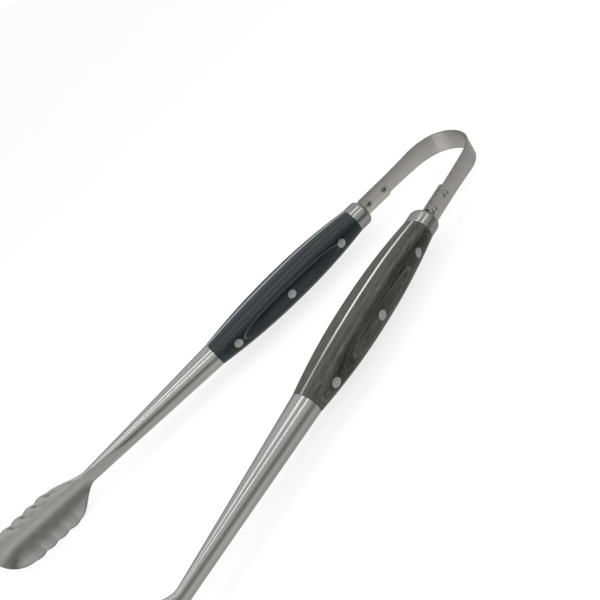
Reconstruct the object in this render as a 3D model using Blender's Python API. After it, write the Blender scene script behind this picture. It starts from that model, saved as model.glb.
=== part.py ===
"""Barbecue tongs: two steel arms with riveted wood handles, joined by a bent spring bow.

Metres, +Z up. The tongs lie on their side: +Y runs from the jaws to the bow, X across the
opening, and each arm is the other's mirror image in the plane X = 0. Along an arm, 'along'
counts from the middle handle pin towards the bow, 'out' counts from the handle's axis away
from the other arm, and 'up' from the axis along Z.
"""

import math

import bmesh
import bpy
from mathutils import Vector

# How far the tongs stand open when nothing squeezes them
OPENING_HALF_ANGLE = math.radians(9.6)
HANDLE_SPREAD = 0.0422

# Wood handle: lengths either side of the middle pin, and half sizes of its section
HANDLE_FRONT = 0.0629
HANDLE_REAR = 0.0646
BELLY_HALF_THICKNESS = 0.0135
BELLY_HALF_WIDTH = 0.0125
FRONT_HALF_THICKNESS = 0.0091
FRONT_HALF_WIDTH = 0.0083
REAR_HALF_THICKNESS = 0.0096
REAR_HALF_WIDTH = 0.0088
THICKEST_AHEAD = 0.010
WIDEST_BEHIND = 0.0115
HANDLE_SQUARENESS = 2.15

# Flat tang between the two wood scales, and the strap that it ends in behind the handle
TANG_THICKNESS = 0.0015
TANG_OFFSET = 0.0015
STRAP_WIDTH = 0.0126
STRAP_END = 0.0994
STRAP_CORNER = 0.0022
TANG_ROOT = 0.0040

# Handle pins
PIN_RADIUS = 0.0030
PIN_SPACING = 0.0470

# Rear bolster, a domed cap that the strap passes through
BOLSTER_LENGTH = 0.0112
BOLSTER_EDGE_RADIUS = 0.0042

# Front arm, from the wood to the jaw; its inner side is scooped flat towards the jaw
ARM_LENGTH = 0.1120
SCOOP_START = 0.0760
SCOOP_DEPTH_SHARE = 0.55
BAR_HALF_THICKNESS = 0.0029
BAR_HALF_WIDTH = 0.0050

# Jaw: a shallow scalloped spoon whose rim meets the other jaw's
JAW_LENGTH = 0.0780
JAW_HALF_WIDTH = 0.0160
JAW_HALF_THICKNESS = 0.0009
JAW_SQUARENESS = 4.0
JAW_DEPTH = 0.0058
JAW_RIM_INWARD = 0.0042
JAW_TIP_LENGTH = 0.0150
JAW_NECK = 0.0240
SCALLOP_HEIGHT = 0.0013
SCALLOP_COUNT = 4
CLOSED_RIM_GAP = 0.0010

# Spring bow: one flat strip, riveted outside the straps, bent round and widest at its crown
STRIP_THICKNESS = 0.0012
STRIP_WIDTH = 0.0122
CROWN_WIDTH = 0.0148
STRIP_START = 0.0768
BOW_BEND_START = 0.1251

# Bow rivets
FIRST_RIVET = 0.0816
RIVET_SPACING = 0.0144
RIVET_SHANK_RADIUS = 0.0014
RIVET_HEAD_RADIUS = 0.0025
RIVET_HEAD_HEIGHT = 0.0013

# Clearance between pieces that touch, and how far a cut runs past what it cuts
GAP = 0.0003
OVERRUN = 0.0020

# Fineness of the rounds
SECTION_POINTS = 24
SCALE_STATIONS = 18
ARM_STATIONS = 4
SCOOP_STATIONS = 7
NECK_STATIONS = 6
LOBE_STATIONS = 6
TIP_STATIONS = 6
BEND_POINTS = 8
CROWN_POINTS = 15
ROUND_POINTS = 16
TIP_SWEEP = math.radians(84)
HEAD_CURVE_SHARES = (0.0, 0.25, 0.5, 0.75, 1.0)

# The two arms' side of X and their names, and how much less blue than red the steel shows
SIDES = ((-1, "left"), (1, "right"))
STEEL_WARMTH_SHARE = 0.97

SHOULDER = -HANDLE_FRONT
TANG_INNER = TANG_OFFSET - TANG_THICKNESS / 2
TANG_OUTER = TANG_OFFSET + TANG_THICKNESS / 2
STRIP_INNER = TANG_OUTER + GAP
STRIP_MIDDLE = STRIP_INNER + STRIP_THICKNESS / 2
STRIP_OUTER = STRIP_INNER + STRIP_THICKNESS


def smooth(share):
    """Eases from 0 to 1 with level ends."""
    share = min(max(share, 0.0), 1.0)
    return share * share * (3.0 - 2.0 * share)


def mix(start, end, share):
    return start + (end - start) * share


def bulge(along, peak_at, peak, front, rear):
    """A size that swells to its peak and falls off as a parabola to each end of the handle."""
    if along < peak_at:
        share = (peak_at - along) / (peak_at + HANDLE_FRONT)
        return mix(peak, front, share * share)
    share = (along - peak_at) / (HANDLE_REAR - peak_at)
    return mix(peak, rear, share * share)


def handle_half_thickness(along):
    return bulge(along, -THICKEST_AHEAD, BELLY_HALF_THICKNESS, FRONT_HALF_THICKNESS, REAR_HALF_THICKNESS)


def handle_half_width(along):
    return bulge(along, WIDEST_BEHIND, BELLY_HALF_WIDTH, FRONT_HALF_WIDTH, REAR_HALF_WIDTH)


def height_share(share, squareness):
    """How high a superellipse of unit size stands at a share of its half width."""
    return max(1.0 - abs(share) ** squareness, 0.0) ** (1.0 / squareness)


def handle_surface(along, up):
    """Distance from the handle's axis to its side face, at a height above the axis."""
    return handle_half_thickness(along) * height_share(up / handle_half_width(along), HANDLE_SQUARENESS)


def tang_half_width(along):
    """Half width of the tang where its edges lie flush with the handle's outline."""
    return handle_half_width(along) * height_share(TANG_OFFSET / handle_half_thickness(along), HANDLE_SQUARENESS)


def full_ring(half_thickness, half_width, squareness, centre=0.0, dish=0.0, scoop=0.0):
    """A closed section as (out, up) points: scooped flat on its inner side by a share of its half
    thickness, and bowed outward by dish at its middle."""
    ring = []
    for k in range(SECTION_POINTS):
        turn = math.tau * k / SECTION_POINTS
        across = math.sin(turn)
        depth = math.copysign(height_share(across, squareness), math.cos(turn))
        depth = max(depth, scoop - 1.0)
        ring.append((centre + half_thickness * depth + dish * (1.0 - across * across), half_width * across))
    return ring


def scale_ring(along, cut, outer):
    """The part of the handle's section beyond a flat cut, on its outer or its inner side."""
    thickness, width = handle_half_thickness(along), handle_half_width(along)
    edge = math.asin(height_share(cut / thickness, HANDLE_SQUARENESS))
    if cut < 0:
        edge = math.pi - edge
    start, end = (-edge, edge) if outer else (edge, math.tau - edge)
    ring = []
    for k in range(SECTION_POINTS - 3):
        turn = mix(start, end, k / (SECTION_POINTS - 4))
        across = math.sin(turn)
        depth = math.copysign(height_share(across, HANDLE_SQUARENESS), math.cos(turn))
        if k in (0, SECTION_POINTS - 4):
            ring.append((cut, width * across))
        else:
            ring.append((thickness * depth, width * across))
    return ring


def finish_mesh(bm, name, sharp_angle=math.radians(35)):
    bmesh.ops.recalc_face_normals(bm, faces=bm.faces)
    mesh = bpy.data.meshes.new(name)
    bm.to_mesh(mesh)
    bm.free()
    mesh.shade_smooth()
    mesh.set_sharp_from_angle(angle=sharp_angle)
    return mesh


def loft(name, side, stations):
    """Skins closed rings of (out, up) points at places along an arm, and caps both ends."""
    bm = bmesh.new()
    rings = []
    for along, ring in stations:
        rings.append([bm.verts.new((side * out, along, up)) for out, up in ring])
    for low, high in zip(rings, rings[1:]):
        for k, vert in enumerate(low):
            after = (k + 1) % len(low)
            bm.faces.new((vert, low[after], high[after], high[k]))
    bm.faces.new(rings[0])
    bm.faces.new(reversed(rings[-1]))
    return finish_mesh(bm, name)


def plate(name, side, outline, low, high):
    """A flat plate of (along, up) outline points between two distances out from the axis."""
    bm = bmesh.new()
    near = [bm.verts.new((side * low, along, up)) for along, up in outline]
    far = [bm.verts.new((side * high, along, up)) for along, up in outline]
    bm.faces.new(near)
    bm.faces.new(reversed(far))
    for k, vert in enumerate(near):
        after = (k + 1) % len(near)
        bm.faces.new((vert, far[k], far[after], near[after]))
    return finish_mesh(bm, name)


def turned(name, side, along, profile):
    """A round piece on an axis across the arm, from (out, radius) points that start and end on it."""
    bm = bmesh.new()
    first = bm.verts.new((side * profile[0][0], along, 0.0))
    last = bm.verts.new((side * profile[-1][0], along, 0.0))
    rings = []
    for out, radius in profile[1:-1]:
        ring = []
        for k in range(ROUND_POINTS):
            turn = math.tau * k / ROUND_POINTS
            ring.append(bm.verts.new((side * out, along + radius * math.cos(turn), radius * math.sin(turn))))
        rings.append(ring)
    for k in range(ROUND_POINTS):
        after = (k + 1) % ROUND_POINTS
        bm.faces.new((first, rings[0][after], rings[0][k]))
        bm.faces.new((last, rings[-1][k], rings[-1][after]))
        for low, high in zip(rings, rings[1:]):
            bm.faces.new((low[k], low[after], high[after], high[k]))
    return finish_mesh(bm, name)


def steel(name, shade, roughness):
    return material(name, (shade, shade, shade * STEEL_WARMTH_SHARE), roughness, 1.0)


def material(name, colour, roughness, metallic):
    made = bpy.data.materials.new(name)
    made.use_nodes = True
    shader = made.node_tree.nodes["Principled BSDF"]
    shader.inputs["Base Color"].default_value = (*colour, 1.0)
    shader.inputs["Roughness"].default_value = roughness
    shader.inputs["Metallic"].default_value = metallic
    return made


def add_object(name, mesh, finish, parent, place):
    made = bpy.data.objects.new(name, mesh)
    bpy.context.collection.objects.link(made)
    made.data.materials.append(finish)
    made.parent = parent
    made.location = place
    return made


def add_empty(name, place, turn=0.0, parent=None):
    made = bpy.data.objects.new(name, None)
    bpy.context.collection.objects.link(made)
    made.parent = parent
    made.location = place
    made.rotation_euler = (0.0, 0.0, turn)
    return made


def combine(body, tool, operation):
    """Adds a Boolean of one object to another, and keeps the tool out of the model."""
    step = body.modifiers.new(operation.lower(), "BOOLEAN")
    step.operation = operation
    step.solver = "EXACT"
    step.object = tool
    tool.hide_render = True
    tool.display_type = "WIRE"


def world_place(side, along, out):
    """A point of the arm's own frame in the plan of the whole tongs."""
    sine, cosine = math.sin(OPENING_HALF_ANGLE), math.cos(OPENING_HALF_ANGLE)
    across = HANDLE_SPREAD - along * sine + out * cosine
    return Vector((side * across, along * cosine + out * sine, 0.0))


def bow_half_path():
    """The strip's middle line on the right side, from its end on the strap to the middle of the crown."""
    points = [world_place(1, STRIP_START, STRIP_MIDDLE)]
    points.append(world_place(1, (STRIP_START + BOW_BEND_START) / 2, STRIP_MIDDLE))
    bend = world_place(1, BOW_BEND_START, STRIP_MIDDLE)
    radius = bend.x / math.cos(OPENING_HALF_ANGLE)
    middle = bend.y - radius * math.sin(OPENING_HALF_ANGLE)
    for k in range(CROWN_POINTS + 1):
        turn = mix(OPENING_HALF_ANGLE, math.pi / 2, k / CROWN_POINTS)
        points.append(Vector((radius * math.cos(turn), middle + radius * math.sin(turn), 0.0)))
    return points


def bend_centre():
    """Where an arm seems to turn as the bow flexes: the middle of the free half of the strip."""
    points = bow_half_path()
    points[0] = world_place(1, STRAP_END, STRIP_MIDDLE)
    total, weight = Vector(), 0.0
    for start, end in zip(points, points[1:]):
        length = (end - start).length
        total += (start + end) / 2 * length
        weight += length
    return total / weight


def closing_angle():
    """How far an arm turns about its bend centre before its jaw's rim meets the other's."""
    pivot = bend_centre()
    rim = world_place(1, jaw_middle(), -JAW_RIM_INWARD) - pivot
    reach = math.hypot(rim.x, rim.y)
    return math.acos((CLOSED_RIM_GAP / 2 - pivot.x) / reach) + math.atan2(rim.y, rim.x)


def jaw_middle():
    return SHOULDER - ARM_LENGTH - JAW_LENGTH / 2


def jaw_width(ahead):
    """Half width of the jaw, at a distance ahead of its root: a neck, scallops and a round tip."""
    straight = JAW_LENGTH - JAW_TIP_LENGTH
    if ahead > straight:
        share = min((ahead - straight) / JAW_TIP_LENGTH, 1.0)
        return JAW_HALF_WIDTH * math.sqrt(1.0 - share * share)
    width = mix(BAR_HALF_WIDTH, JAW_HALF_WIDTH, smooth(ahead / JAW_NECK))
    if ahead > JAW_NECK:
        lobe = math.pi * SCALLOP_COUNT * (ahead - JAW_NECK) / (straight - JAW_NECK)
        width += SCALLOP_HEIGHT * abs(math.sin(lobe))
    return width


def jaw_station(ahead):
    """One section of the jaw, from the bar's at its root to the spoon's."""
    share = smooth(ahead / JAW_NECK)
    beyond = max(ahead - (JAW_LENGTH - JAW_TIP_LENGTH), 0.0) / JAW_TIP_LENGTH
    along = SHOULDER - ARM_LENGTH - ahead
    lean = math.tan(closing_angle() - OPENING_HALF_ANGLE)
    rim = -JAW_RIM_INWARD - (along - jaw_middle()) * lean
    ring = full_ring(
        mix(BAR_HALF_THICKNESS, JAW_HALF_THICKNESS, share),
        jaw_width(ahead),
        mix(HANDLE_SQUARENESS, JAW_SQUARENESS, share),
        rim * share,
        JAW_DEPTH * share * (1.0 - beyond * beyond),
        SCOOP_DEPTH_SHARE * (1.0 - share),
    )
    return along, ring


def bar_station(ahead):
    """One section of the bar, at a distance ahead of the shoulder: tapering, then scooped flat inside."""
    share = ahead / ARM_LENGTH
    scoop = max(ahead - SCOOP_START, 0.0) / (ARM_LENGTH - SCOOP_START)
    ring = full_ring(
        mix(FRONT_HALF_THICKNESS, BAR_HALF_THICKNESS, share),
        mix(FRONT_HALF_WIDTH, BAR_HALF_WIDTH, share),
        HANDLE_SQUARENESS,
        scoop=SCOOP_DEPTH_SHARE * scoop * scoop,
    )
    return SHOULDER - ahead, ring


def arm_stations():
    """Sections of the front arm and its jaw, from the shoulder at the wood to the tip."""
    stations = [bar_station(SCOOP_START * k / ARM_STATIONS) for k in range(ARM_STATIONS)]
    for k in range(SCOOP_STATIONS):
        stations.append(bar_station(mix(SCOOP_START, ARM_LENGTH, k / SCOOP_STATIONS)))
    for k in range(NECK_STATIONS):
        stations.append(jaw_station(JAW_NECK * k / NECK_STATIONS))
    straight = JAW_LENGTH - JAW_TIP_LENGTH
    lobes = SCALLOP_COUNT * LOBE_STATIONS
    for k in range(lobes):
        stations.append(jaw_station(mix(JAW_NECK, straight, k / lobes)))
    for k in range(TIP_STATIONS + 1):
        turn = TIP_SWEEP * k / TIP_STATIONS
        stations.append(jaw_station(straight + JAW_TIP_LENGTH * math.sin(turn)))
    return stations


def tang_outline():
    """The tang and its strap from the side: buried root, flush edges, then the narrower strap."""
    half = [(SHOULDER - TANG_ROOT, FRONT_HALF_WIDTH - TANG_ROOT / 2)]
    half.append((SHOULDER - GAP, FRONT_HALF_WIDTH - TANG_ROOT / 2))
    for k in range(SCALE_STATIONS + 1):
        along = mix(SHOULDER + GAP, HANDLE_REAR, k / SCALE_STATIONS)
        half.append((along, tang_half_width(along)))
    half.append((HANDLE_REAR, STRAP_WIDTH / 2))
    for k in range(BEND_POINTS // 2 + 1):
        turn = math.pi / 2 * k / (BEND_POINTS // 2)
        along = STRAP_END - STRAP_CORNER * (1.0 - math.sin(turn))
        half.append((along, STRAP_WIDTH / 2 - STRAP_CORNER * (1.0 - math.cos(turn))))
    return half + [(along, -up) for along, up in reversed(half)]


def round_cutter(name, side, along, radius, low, high, parent, place, finish):
    profile = [(low, 0.0), (low, radius), (high, radius), (high, 0.0)]
    return add_object(name, turned(name, side, along, profile), finish, parent, place)


def pin_places():
    return [-PIN_SPACING, 0.0, PIN_SPACING]


def rivet_places():
    return [FIRST_RIVET, FIRST_RIVET + RIVET_SPACING]


def pin_mesh(name, side, along):
    """A handle pin whose ends are ground to the handle's own rounded faces."""
    bm = bmesh.new()
    shares = (0.5, 1.0)
    ends = []
    for face in (1.0, -1.0):
        middle = bm.verts.new((side * face * handle_surface(along, 0.0), along, 0.0))
        rings = []
        for share in shares:
            ring = []
            for k in range(ROUND_POINTS):
                turn = math.tau * k / ROUND_POINTS
                at = along + PIN_RADIUS * share * math.cos(turn)
                up = PIN_RADIUS * share * math.sin(turn)
                ring.append(bm.verts.new((side * face * handle_surface(at, up), at, up)))
            rings.append(ring)
        ends.append(rings)
        for k in range(ROUND_POINTS):
            after = (k + 1) % ROUND_POINTS
            bm.faces.new((middle, rings[0][k], rings[0][after]))
            bm.faces.new((rings[0][k], rings[1][k], rings[1][after], rings[0][after]))
    for k in range(ROUND_POINTS):
        after = (k + 1) % ROUND_POINTS
        bm.faces.new((ends[0][1][k], ends[1][1][k], ends[1][1][after], ends[0][1][after]))
    return finish_mesh(bm, name)


def dome(base, direction, radius, height):
    """Profile points of a rivet head, from its edge on the metal to its top."""
    points = []
    for share in HEAD_CURVE_SHARES:
        turn = math.pi / 2 * share
        points.append((base + direction * height * math.sin(turn), radius * math.cos(turn)))
    return points


def rivet_mesh(name, side, along):
    """A shank through strap and strip, with a domed head on each face."""
    inner_seat = TANG_INNER - GAP
    outer_seat = STRIP_OUTER + GAP
    inner = dome(inner_seat, -1.0, RIVET_HEAD_RADIUS, RIVET_HEAD_HEIGHT)
    outer = dome(outer_seat, 1.0, RIVET_HEAD_RADIUS, RIVET_HEAD_HEIGHT)
    shank = [(inner_seat, RIVET_SHANK_RADIUS), (outer_seat, RIVET_SHANK_RADIUS)]
    return turned(name, side, along, list(reversed(inner)) + shank + outer)


def bolster_stations():
    """Sections of the rear bolster: straight sides, then a rounded edge to its flat end."""
    stations = []
    straight = BOLSTER_LENGTH - BOLSTER_EDGE_RADIUS
    start = HANDLE_REAR + GAP
    for share in (0.0, 1.0):
        stations.append((start + straight * share, full_ring(REAR_HALF_THICKNESS, REAR_HALF_WIDTH, HANDLE_SQUARENESS)))
    for k in range(1, BEND_POINTS + 1):
        turn = math.pi / 2 * k / BEND_POINTS
        shrink = BOLSTER_EDGE_RADIUS * (1.0 - math.cos(turn))
        along = start + straight + BOLSTER_EDGE_RADIUS * math.sin(turn)
        ring = full_ring(REAR_HALF_THICKNESS - shrink, REAR_HALF_WIDTH - shrink, HANDLE_SQUARENESS)
        stations.append((along, ring))
    return stations


def build_arm(side, label, root, finishes):
    """One whole arm: forging, bolster, wood scales, pins and bow rivets, under an empty on its bend centre."""
    centre = bend_centre()
    pivot = add_empty(label + "_bend_centre", (side * centre.x, centre.y, 0.0), side * OPENING_HALF_ANGLE, root)
    sine, cosine = math.sin(OPENING_HALF_ANGLE), math.cos(OPENING_HALF_ANGLE)
    middle = world_place(1, 0.0, 0.0) - centre
    place = Vector((side * (middle.x * cosine + middle.y * sine), middle.y * cosine - middle.x * sine, 0.0))

    arm = add_object(label + "_arm", loft("arm", side, arm_stations()), finishes["arm"], pivot, place)
    tang = plate("tang", side, tang_outline(), TANG_INNER, TANG_OUTER)
    combine(arm, add_object(label + "_tang_shape", tang, finishes["arm"], pivot, place), "UNION")

    inner_cut, outer_cut = TANG_INNER - GAP, TANG_OUTER + GAP
    scales = {}
    for word, cut, outer in (("inner", inner_cut, False), ("outer", outer_cut, True)):
        stations = []
        for k in range(SCALE_STATIONS + 1):
            along = mix(SHOULDER + GAP, HANDLE_REAR, k / SCALE_STATIONS)
            stations.append((along, scale_ring(along, cut, outer)))
        mesh = loft(word + "_scale", side, stations)
        scales[word] = add_object(f"{label}_{word}_scale", mesh, finishes["wood"], pivot, place)

    bolster = loft("rear_bolster", side, bolster_stations())
    bolster = add_object(label + "_rear_bolster", bolster, finishes["bolster"], pivot, place)
    slot_half = STRAP_WIDTH / 2 + GAP
    slot_start, slot_end = HANDLE_REAR - OVERRUN, HANDLE_REAR + BOLSTER_LENGTH + OVERRUN
    slot = [(slot_start, -slot_half), (slot_end, -slot_half), (slot_end, slot_half), (slot_start, slot_half)]
    slot = plate("slot", side, slot, inner_cut, outer_cut)
    combine(bolster, add_object(label + "_slot_shape", slot, finishes["bolster"], pivot, place), "DIFFERENCE")

    for number, along in enumerate(pin_places(), 1):
        reach = BELLY_HALF_THICKNESS + OVERRUN
        name = f"{label}_pin_{number}_hole"
        hole = round_cutter(name, side, along, PIN_RADIUS + GAP, -reach, reach, pivot, place, finishes["pin"])
        for body in (arm, scales["inner"], scales["outer"]):
            combine(body, hole, "DIFFERENCE")
        name = f"{label}_handle_pin_{number}"
        add_object(name, pin_mesh(name, side, along), finishes["pin"], pivot, place)

    for number, along in enumerate(rivet_places(), 1):
        reach = STRIP_OUTER + OVERRUN
        name = f"{label}_rivet_{number}_hole"
        hole = round_cutter(
            name, side, along, RIVET_SHANK_RADIUS + GAP, -reach, reach, pivot, place, finishes["rivet"]
        )
        combine(arm, hole, "DIFFERENCE")
        name = f"{label}_bow_rivet_{number}"
        add_object(name, rivet_mesh(name, side, along), finishes["rivet"], pivot, place)


def build_bow(root, finish):
    """The spring bow: a strip on edge round its plan path, with a hole for each rivet."""
    half = bow_half_path()
    leg_end, crown = world_place(1, STRAP_END, STRIP_MIDDLE).y, half[-1].y
    path = half + [Vector((-point.x, point.y, 0.0)) for point in reversed(half[:-1])]
    bm = bmesh.new()
    rings = []
    for k, point in enumerate(path):
        before, after = path[max(k - 1, 0)], path[min(k + 1, len(path) - 1)]
        heading = (after - before).normalized()
        outward = Vector((heading.y, -heading.x, 0.0)) * STRIP_THICKNESS / 2
        share = (point.y - leg_end) / (crown - leg_end)
        lift = Vector((0.0, 0.0, mix(STRIP_WIDTH, CROWN_WIDTH, smooth(share)) / 2))
        corners = (point + outward + lift, point + outward - lift, point - outward - lift, point - outward + lift)
        rings.append([bm.verts.new(corner) for corner in corners])
    for low, high in zip(rings, rings[1:]):
        for k in range(len(low)):
            after = (k + 1) % len(low)
            bm.faces.new((low[k], low[after], high[after], high[k]))
    bm.faces.new(rings[0])
    bm.faces.new(reversed(rings[-1]))
    bow = add_object("spring_bow", finish_mesh(bm, "spring_bow"), finish, root, (0.0, 0.0, 0.0))
    for side, label in SIDES:
        frame = add_empty(label + "_strip_frame", world_place(side, 0.0, 0.0), side * OPENING_HALF_ANGLE, root)
        for number, along in enumerate(rivet_places(), 1):
            low, high = STRIP_INNER - OVERRUN, STRIP_OUTER + OVERRUN
            name = f"{label}_strip_{number}_hole"
            hole = round_cutter(
                name, side, along, RIVET_SHANK_RADIUS + GAP, low, high, frame, (0.0, 0.0, 0.0), finish
            )
            combine(bow, hole, "DIFFERENCE")


def rest_on_origin(root):
    """Moves the whole so that its box stands on the origin, centred."""
    bpy.context.view_layer.update()
    graph = bpy.context.evaluated_depsgraph_get()
    corners = []
    for item in bpy.context.scene.objects:
        if item.type == "MESH" and not item.hide_render:
            shown = item.evaluated_get(graph)
            corners += [shown.matrix_world @ vert.co for vert in shown.data.vertices]
    low = [min(corner[axis] for corner in corners) for axis in range(3)]
    high = [max(corner[axis] for corner in corners) for axis in range(3)]
    root.location = (-(low[0] + high[0]) / 2, -(low[1] + high[1]) / 2, -low[2])


def main():
    for item in list(bpy.data.objects):
        bpy.data.objects.remove(item, do_unlink=True)
    finishes = {
        "arm": steel("arm_steel", 0.62, 0.25),
        "bolster": steel("bolster_steel", 0.66, 0.2),
        "pin": steel("pin_steel", 0.60, 0.4),
        "rivet": steel("rivet_steel", 0.62, 0.22),
        "bow": steel("bow_steel", 0.52, 0.38),
        "wood": material("laminated_wood", (0.07, 0.068, 0.062), 0.3, 0.0),
    }
    root = add_empty("tongs", (0.0, 0.0, 0.0))
    build_bow(root, finishes["bow"])
    for side, label in SIDES:
        build_arm(side, label, root, finishes)
    rest_on_origin(root)


main()
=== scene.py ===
"""Barbecue tongs with riveted laminated wood handles: the finished look around the fixed frame.

Metres, +Z up. The tongs lie on their side, +Y runs from the jaws to the bow, and the right arm lies
at +X. Each arm is built in coordinates of its own: out, away from the other arm, along, from the
middle handle pin towards the bow, and up. ArmFrame puts them in place.
"""

import logging
import math
from dataclasses import dataclass
from enum import Enum
from types import SimpleNamespace

import bmesh
import bpy
import numpy as np
from bpy.types import ID, Material, Mesh, Node, NodeSocket, NodeTree, Object
from mathutils import Matrix, Vector


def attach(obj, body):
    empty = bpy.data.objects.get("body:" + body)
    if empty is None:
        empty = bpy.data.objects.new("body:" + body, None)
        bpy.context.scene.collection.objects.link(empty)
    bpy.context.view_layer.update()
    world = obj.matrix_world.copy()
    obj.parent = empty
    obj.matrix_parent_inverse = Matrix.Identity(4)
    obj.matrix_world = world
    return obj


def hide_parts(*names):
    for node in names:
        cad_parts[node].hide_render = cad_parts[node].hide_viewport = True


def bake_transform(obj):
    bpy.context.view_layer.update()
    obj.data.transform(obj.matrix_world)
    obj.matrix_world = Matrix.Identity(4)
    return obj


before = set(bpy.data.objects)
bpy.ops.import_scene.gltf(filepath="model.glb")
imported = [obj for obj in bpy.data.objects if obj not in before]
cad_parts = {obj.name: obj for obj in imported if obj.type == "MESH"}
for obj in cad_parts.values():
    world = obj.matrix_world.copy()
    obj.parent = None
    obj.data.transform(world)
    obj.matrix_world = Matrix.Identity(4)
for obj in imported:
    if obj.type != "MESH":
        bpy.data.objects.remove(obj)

LOG = logging.getLogger("tongs")
PLACE, EDGE, RIM = "arm_place", "edge_share", "rim_share"
SEAT = 0.00004
FULL_EDGE = math.radians(50)
MIDDLING = (0.3, 0.7)
SOCKET_WORDS = {"VALUE": "Float", "tuple": "Vector", "Mesh": "Geometry", "Curve": "Geometry"}
Pair = tuple[float, float]
Triple = tuple[float, float, float]


class Side(Enum):
    """The two arms, by the sign of their X."""

    LEFT = -1
    RIGHT = 1

    @property
    def label(self) -> str:
        """The word that starts the names of this arm's pieces."""
        return self.name.lower()

    @property
    def body(self) -> str:
        """The moving body that this arm's pieces ride on."""
        return self.label + "_half"


class Marks(Enum):
    """Which way the grinding marks of a metal surface run, as a stretch of (out, along, up)."""

    LENGTHWISE = (1.0, 0.012, 1.0)
    ACROSS = (1.0, 1.0, 0.02)
    EVERY_WAY = (1.0, 1.0, 1.0)


@dataclass(frozen=True)
class ArmFrame:
    """Where one arm's own coordinates lie in the tongs; the left arm is mirrored."""

    side: Side
    half_angle: float = math.radians(9.6)
    spread: float = 0.0422
    lengthwise: float = 0.05234143
    height: float = 0.0173

    def matrix(self) -> Matrix:
        """The placing of (out, along, up) points.

        Returns:
            The matrix from the arm's own coordinates to those of the tongs.
        """
        sine, cosine, sign = math.sin(self.half_angle), math.cos(self.half_angle), self.side.value
        across = (sign * cosine, -sign * sine, 0.0, sign * self.spread)
        return Matrix(
            (across, (sine, cosine, 0.0, self.lengthwise), (0.0, 0.0, 1.0, self.height), (0.0, 0.0, 0.0, 1.0))
        )

    def place(self, out: float, along: float) -> Vector:
        """One point of the arm's middle plane in the frame of the tongs."""
        return self.matrix() @ Vector((out, along, 0.0))


def ease(share: float) -> float:
    """Eases from 0 to 1 with level ends."""
    share = min(max(share, 0.0), 1.0)
    return share * share * (3.0 - 2.0 * share)


def mix(start: float, end: float, share: float) -> float:
    """The value at a share of the way from start to end."""
    return start + (end - start) * share


def steps(start: float, end: float, count: int) -> list[float]:
    """Even steps from start to just before end."""
    return [mix(start, end, k / count) for k in range(count)]


def rounding(radius: float, count: int) -> list[Pair]:
    """A quarter round from a face to the side it meets, as pairs of run from the face and inset."""
    turns = [math.pi / 2 * k / count for k in range(count + 1)]
    return [(radius * (1.0 - math.cos(turn)), radius * (1.0 - math.sin(turn))) for turn in turns]


def rise(share: np.ndarray, squareness: float) -> np.ndarray:
    """How high a superellipse of unit size stands at a share of its half width."""
    return np.maximum(1.0 - np.abs(share) ** squareness, 0.0) ** (1.0 / squareness)


def section_at(turn: np.ndarray, squareness: float) -> tuple[np.ndarray, np.ndarray]:
    """Depth and breadth of a superellipse of unit size at angles round it."""
    across = np.sin(turn)
    return np.copysign(rise(across, squareness), np.cos(turn)), across


def ring_of(out: np.ndarray, along: float, up: np.ndarray) -> np.ndarray:
    """Rows of (out, along, up) at one place along."""
    return np.stack((out, np.full_like(out, along), up), axis=1)


@dataclass(frozen=True)
class HandleShape:
    """The wood handle's outline and section, which the tang, the scales and the pins all follow."""

    front: float = 0.0629
    rear: float = 0.0646
    belly_thickness: float = 0.0135
    belly_width: float = 0.0121
    front_thickness: float = 0.0091
    front_width: float = 0.0083
    rear_thickness: float = 0.0096
    rear_width: float = 0.0088
    thickest_at: float = -0.010
    widest_at: float = 0.0115
    squareness: float = 2.15
    belly_squareness: float = 2.38
    tang_inner: float = 0.00075
    tang_outer: float = 0.00225

    def _swell(self, along: float, peak_at: float, sizes: Triple) -> float:
        """A size that falls off as a parabola from its peak to each end.

        Args:
            along: place along the handle.
            peak_at: place of the peak.
            sizes: at the front end, at the peak and at the rear end.

        Returns:
            The size at that place.
        """
        front, peak, rear = sizes
        if along < peak_at:
            share = (peak_at - along) / (peak_at + self.front)
            return mix(peak, front, share * share)
        share = (along - peak_at) / (self.rear - peak_at)
        return mix(peak, rear, share * share)

    def thickness(self, along: float) -> float:
        """Half size across the tang."""
        sizes = (self.front_thickness, self.belly_thickness, self.rear_thickness)
        return self._swell(along, self.thickest_at, sizes)

    def width(self, along: float) -> float:
        """Half size along the tang's plane."""
        return self._swell(along, self.widest_at, (self.front_width, self.belly_width, self.rear_width))

    def section(self, along: float) -> float:
        """Squareness of the section, which is a little squarer at the belly."""
        return self._swell(along, 0.0, (self.squareness, self.belly_squareness, self.squareness))

    def flush_width(self, along: float, out: float) -> float:
        """Half width of the outline at a distance out from the handle's axis."""
        share = np.float64(out / self.thickness(along))
        return self.width(along) * float(rise(share, self.section(along)))

    def shell_ring(self, along: float, cut: float, outer: bool, inset: float, count: int) -> np.ndarray:
        """The handle's section on one side of a flat cut.

        Args:
            along: place along the handle.
            cut: distance of the cut from the axis.
            outer: True for the part beyond the cut, False for the part before it.
            inset: how far the curved face lies inside the handle's own.
            count: number of points.

        Returns:
            Rows of (out, along, up) from one edge of the cut to the other.
        """
        thickness, squareness = self.thickness(along) - inset, self.section(along)
        edge = math.asin(float(rise(np.float64(cut / thickness), squareness)))
        start, end = (-edge, edge) if outer else (edge, math.tau - edge)
        depth, across = section_at(np.linspace(start, end, count), squareness)
        out = depth * thickness
        out[0] = out[-1] = cut
        return ring_of(out, along, across * (self.width(along) - inset))


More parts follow.
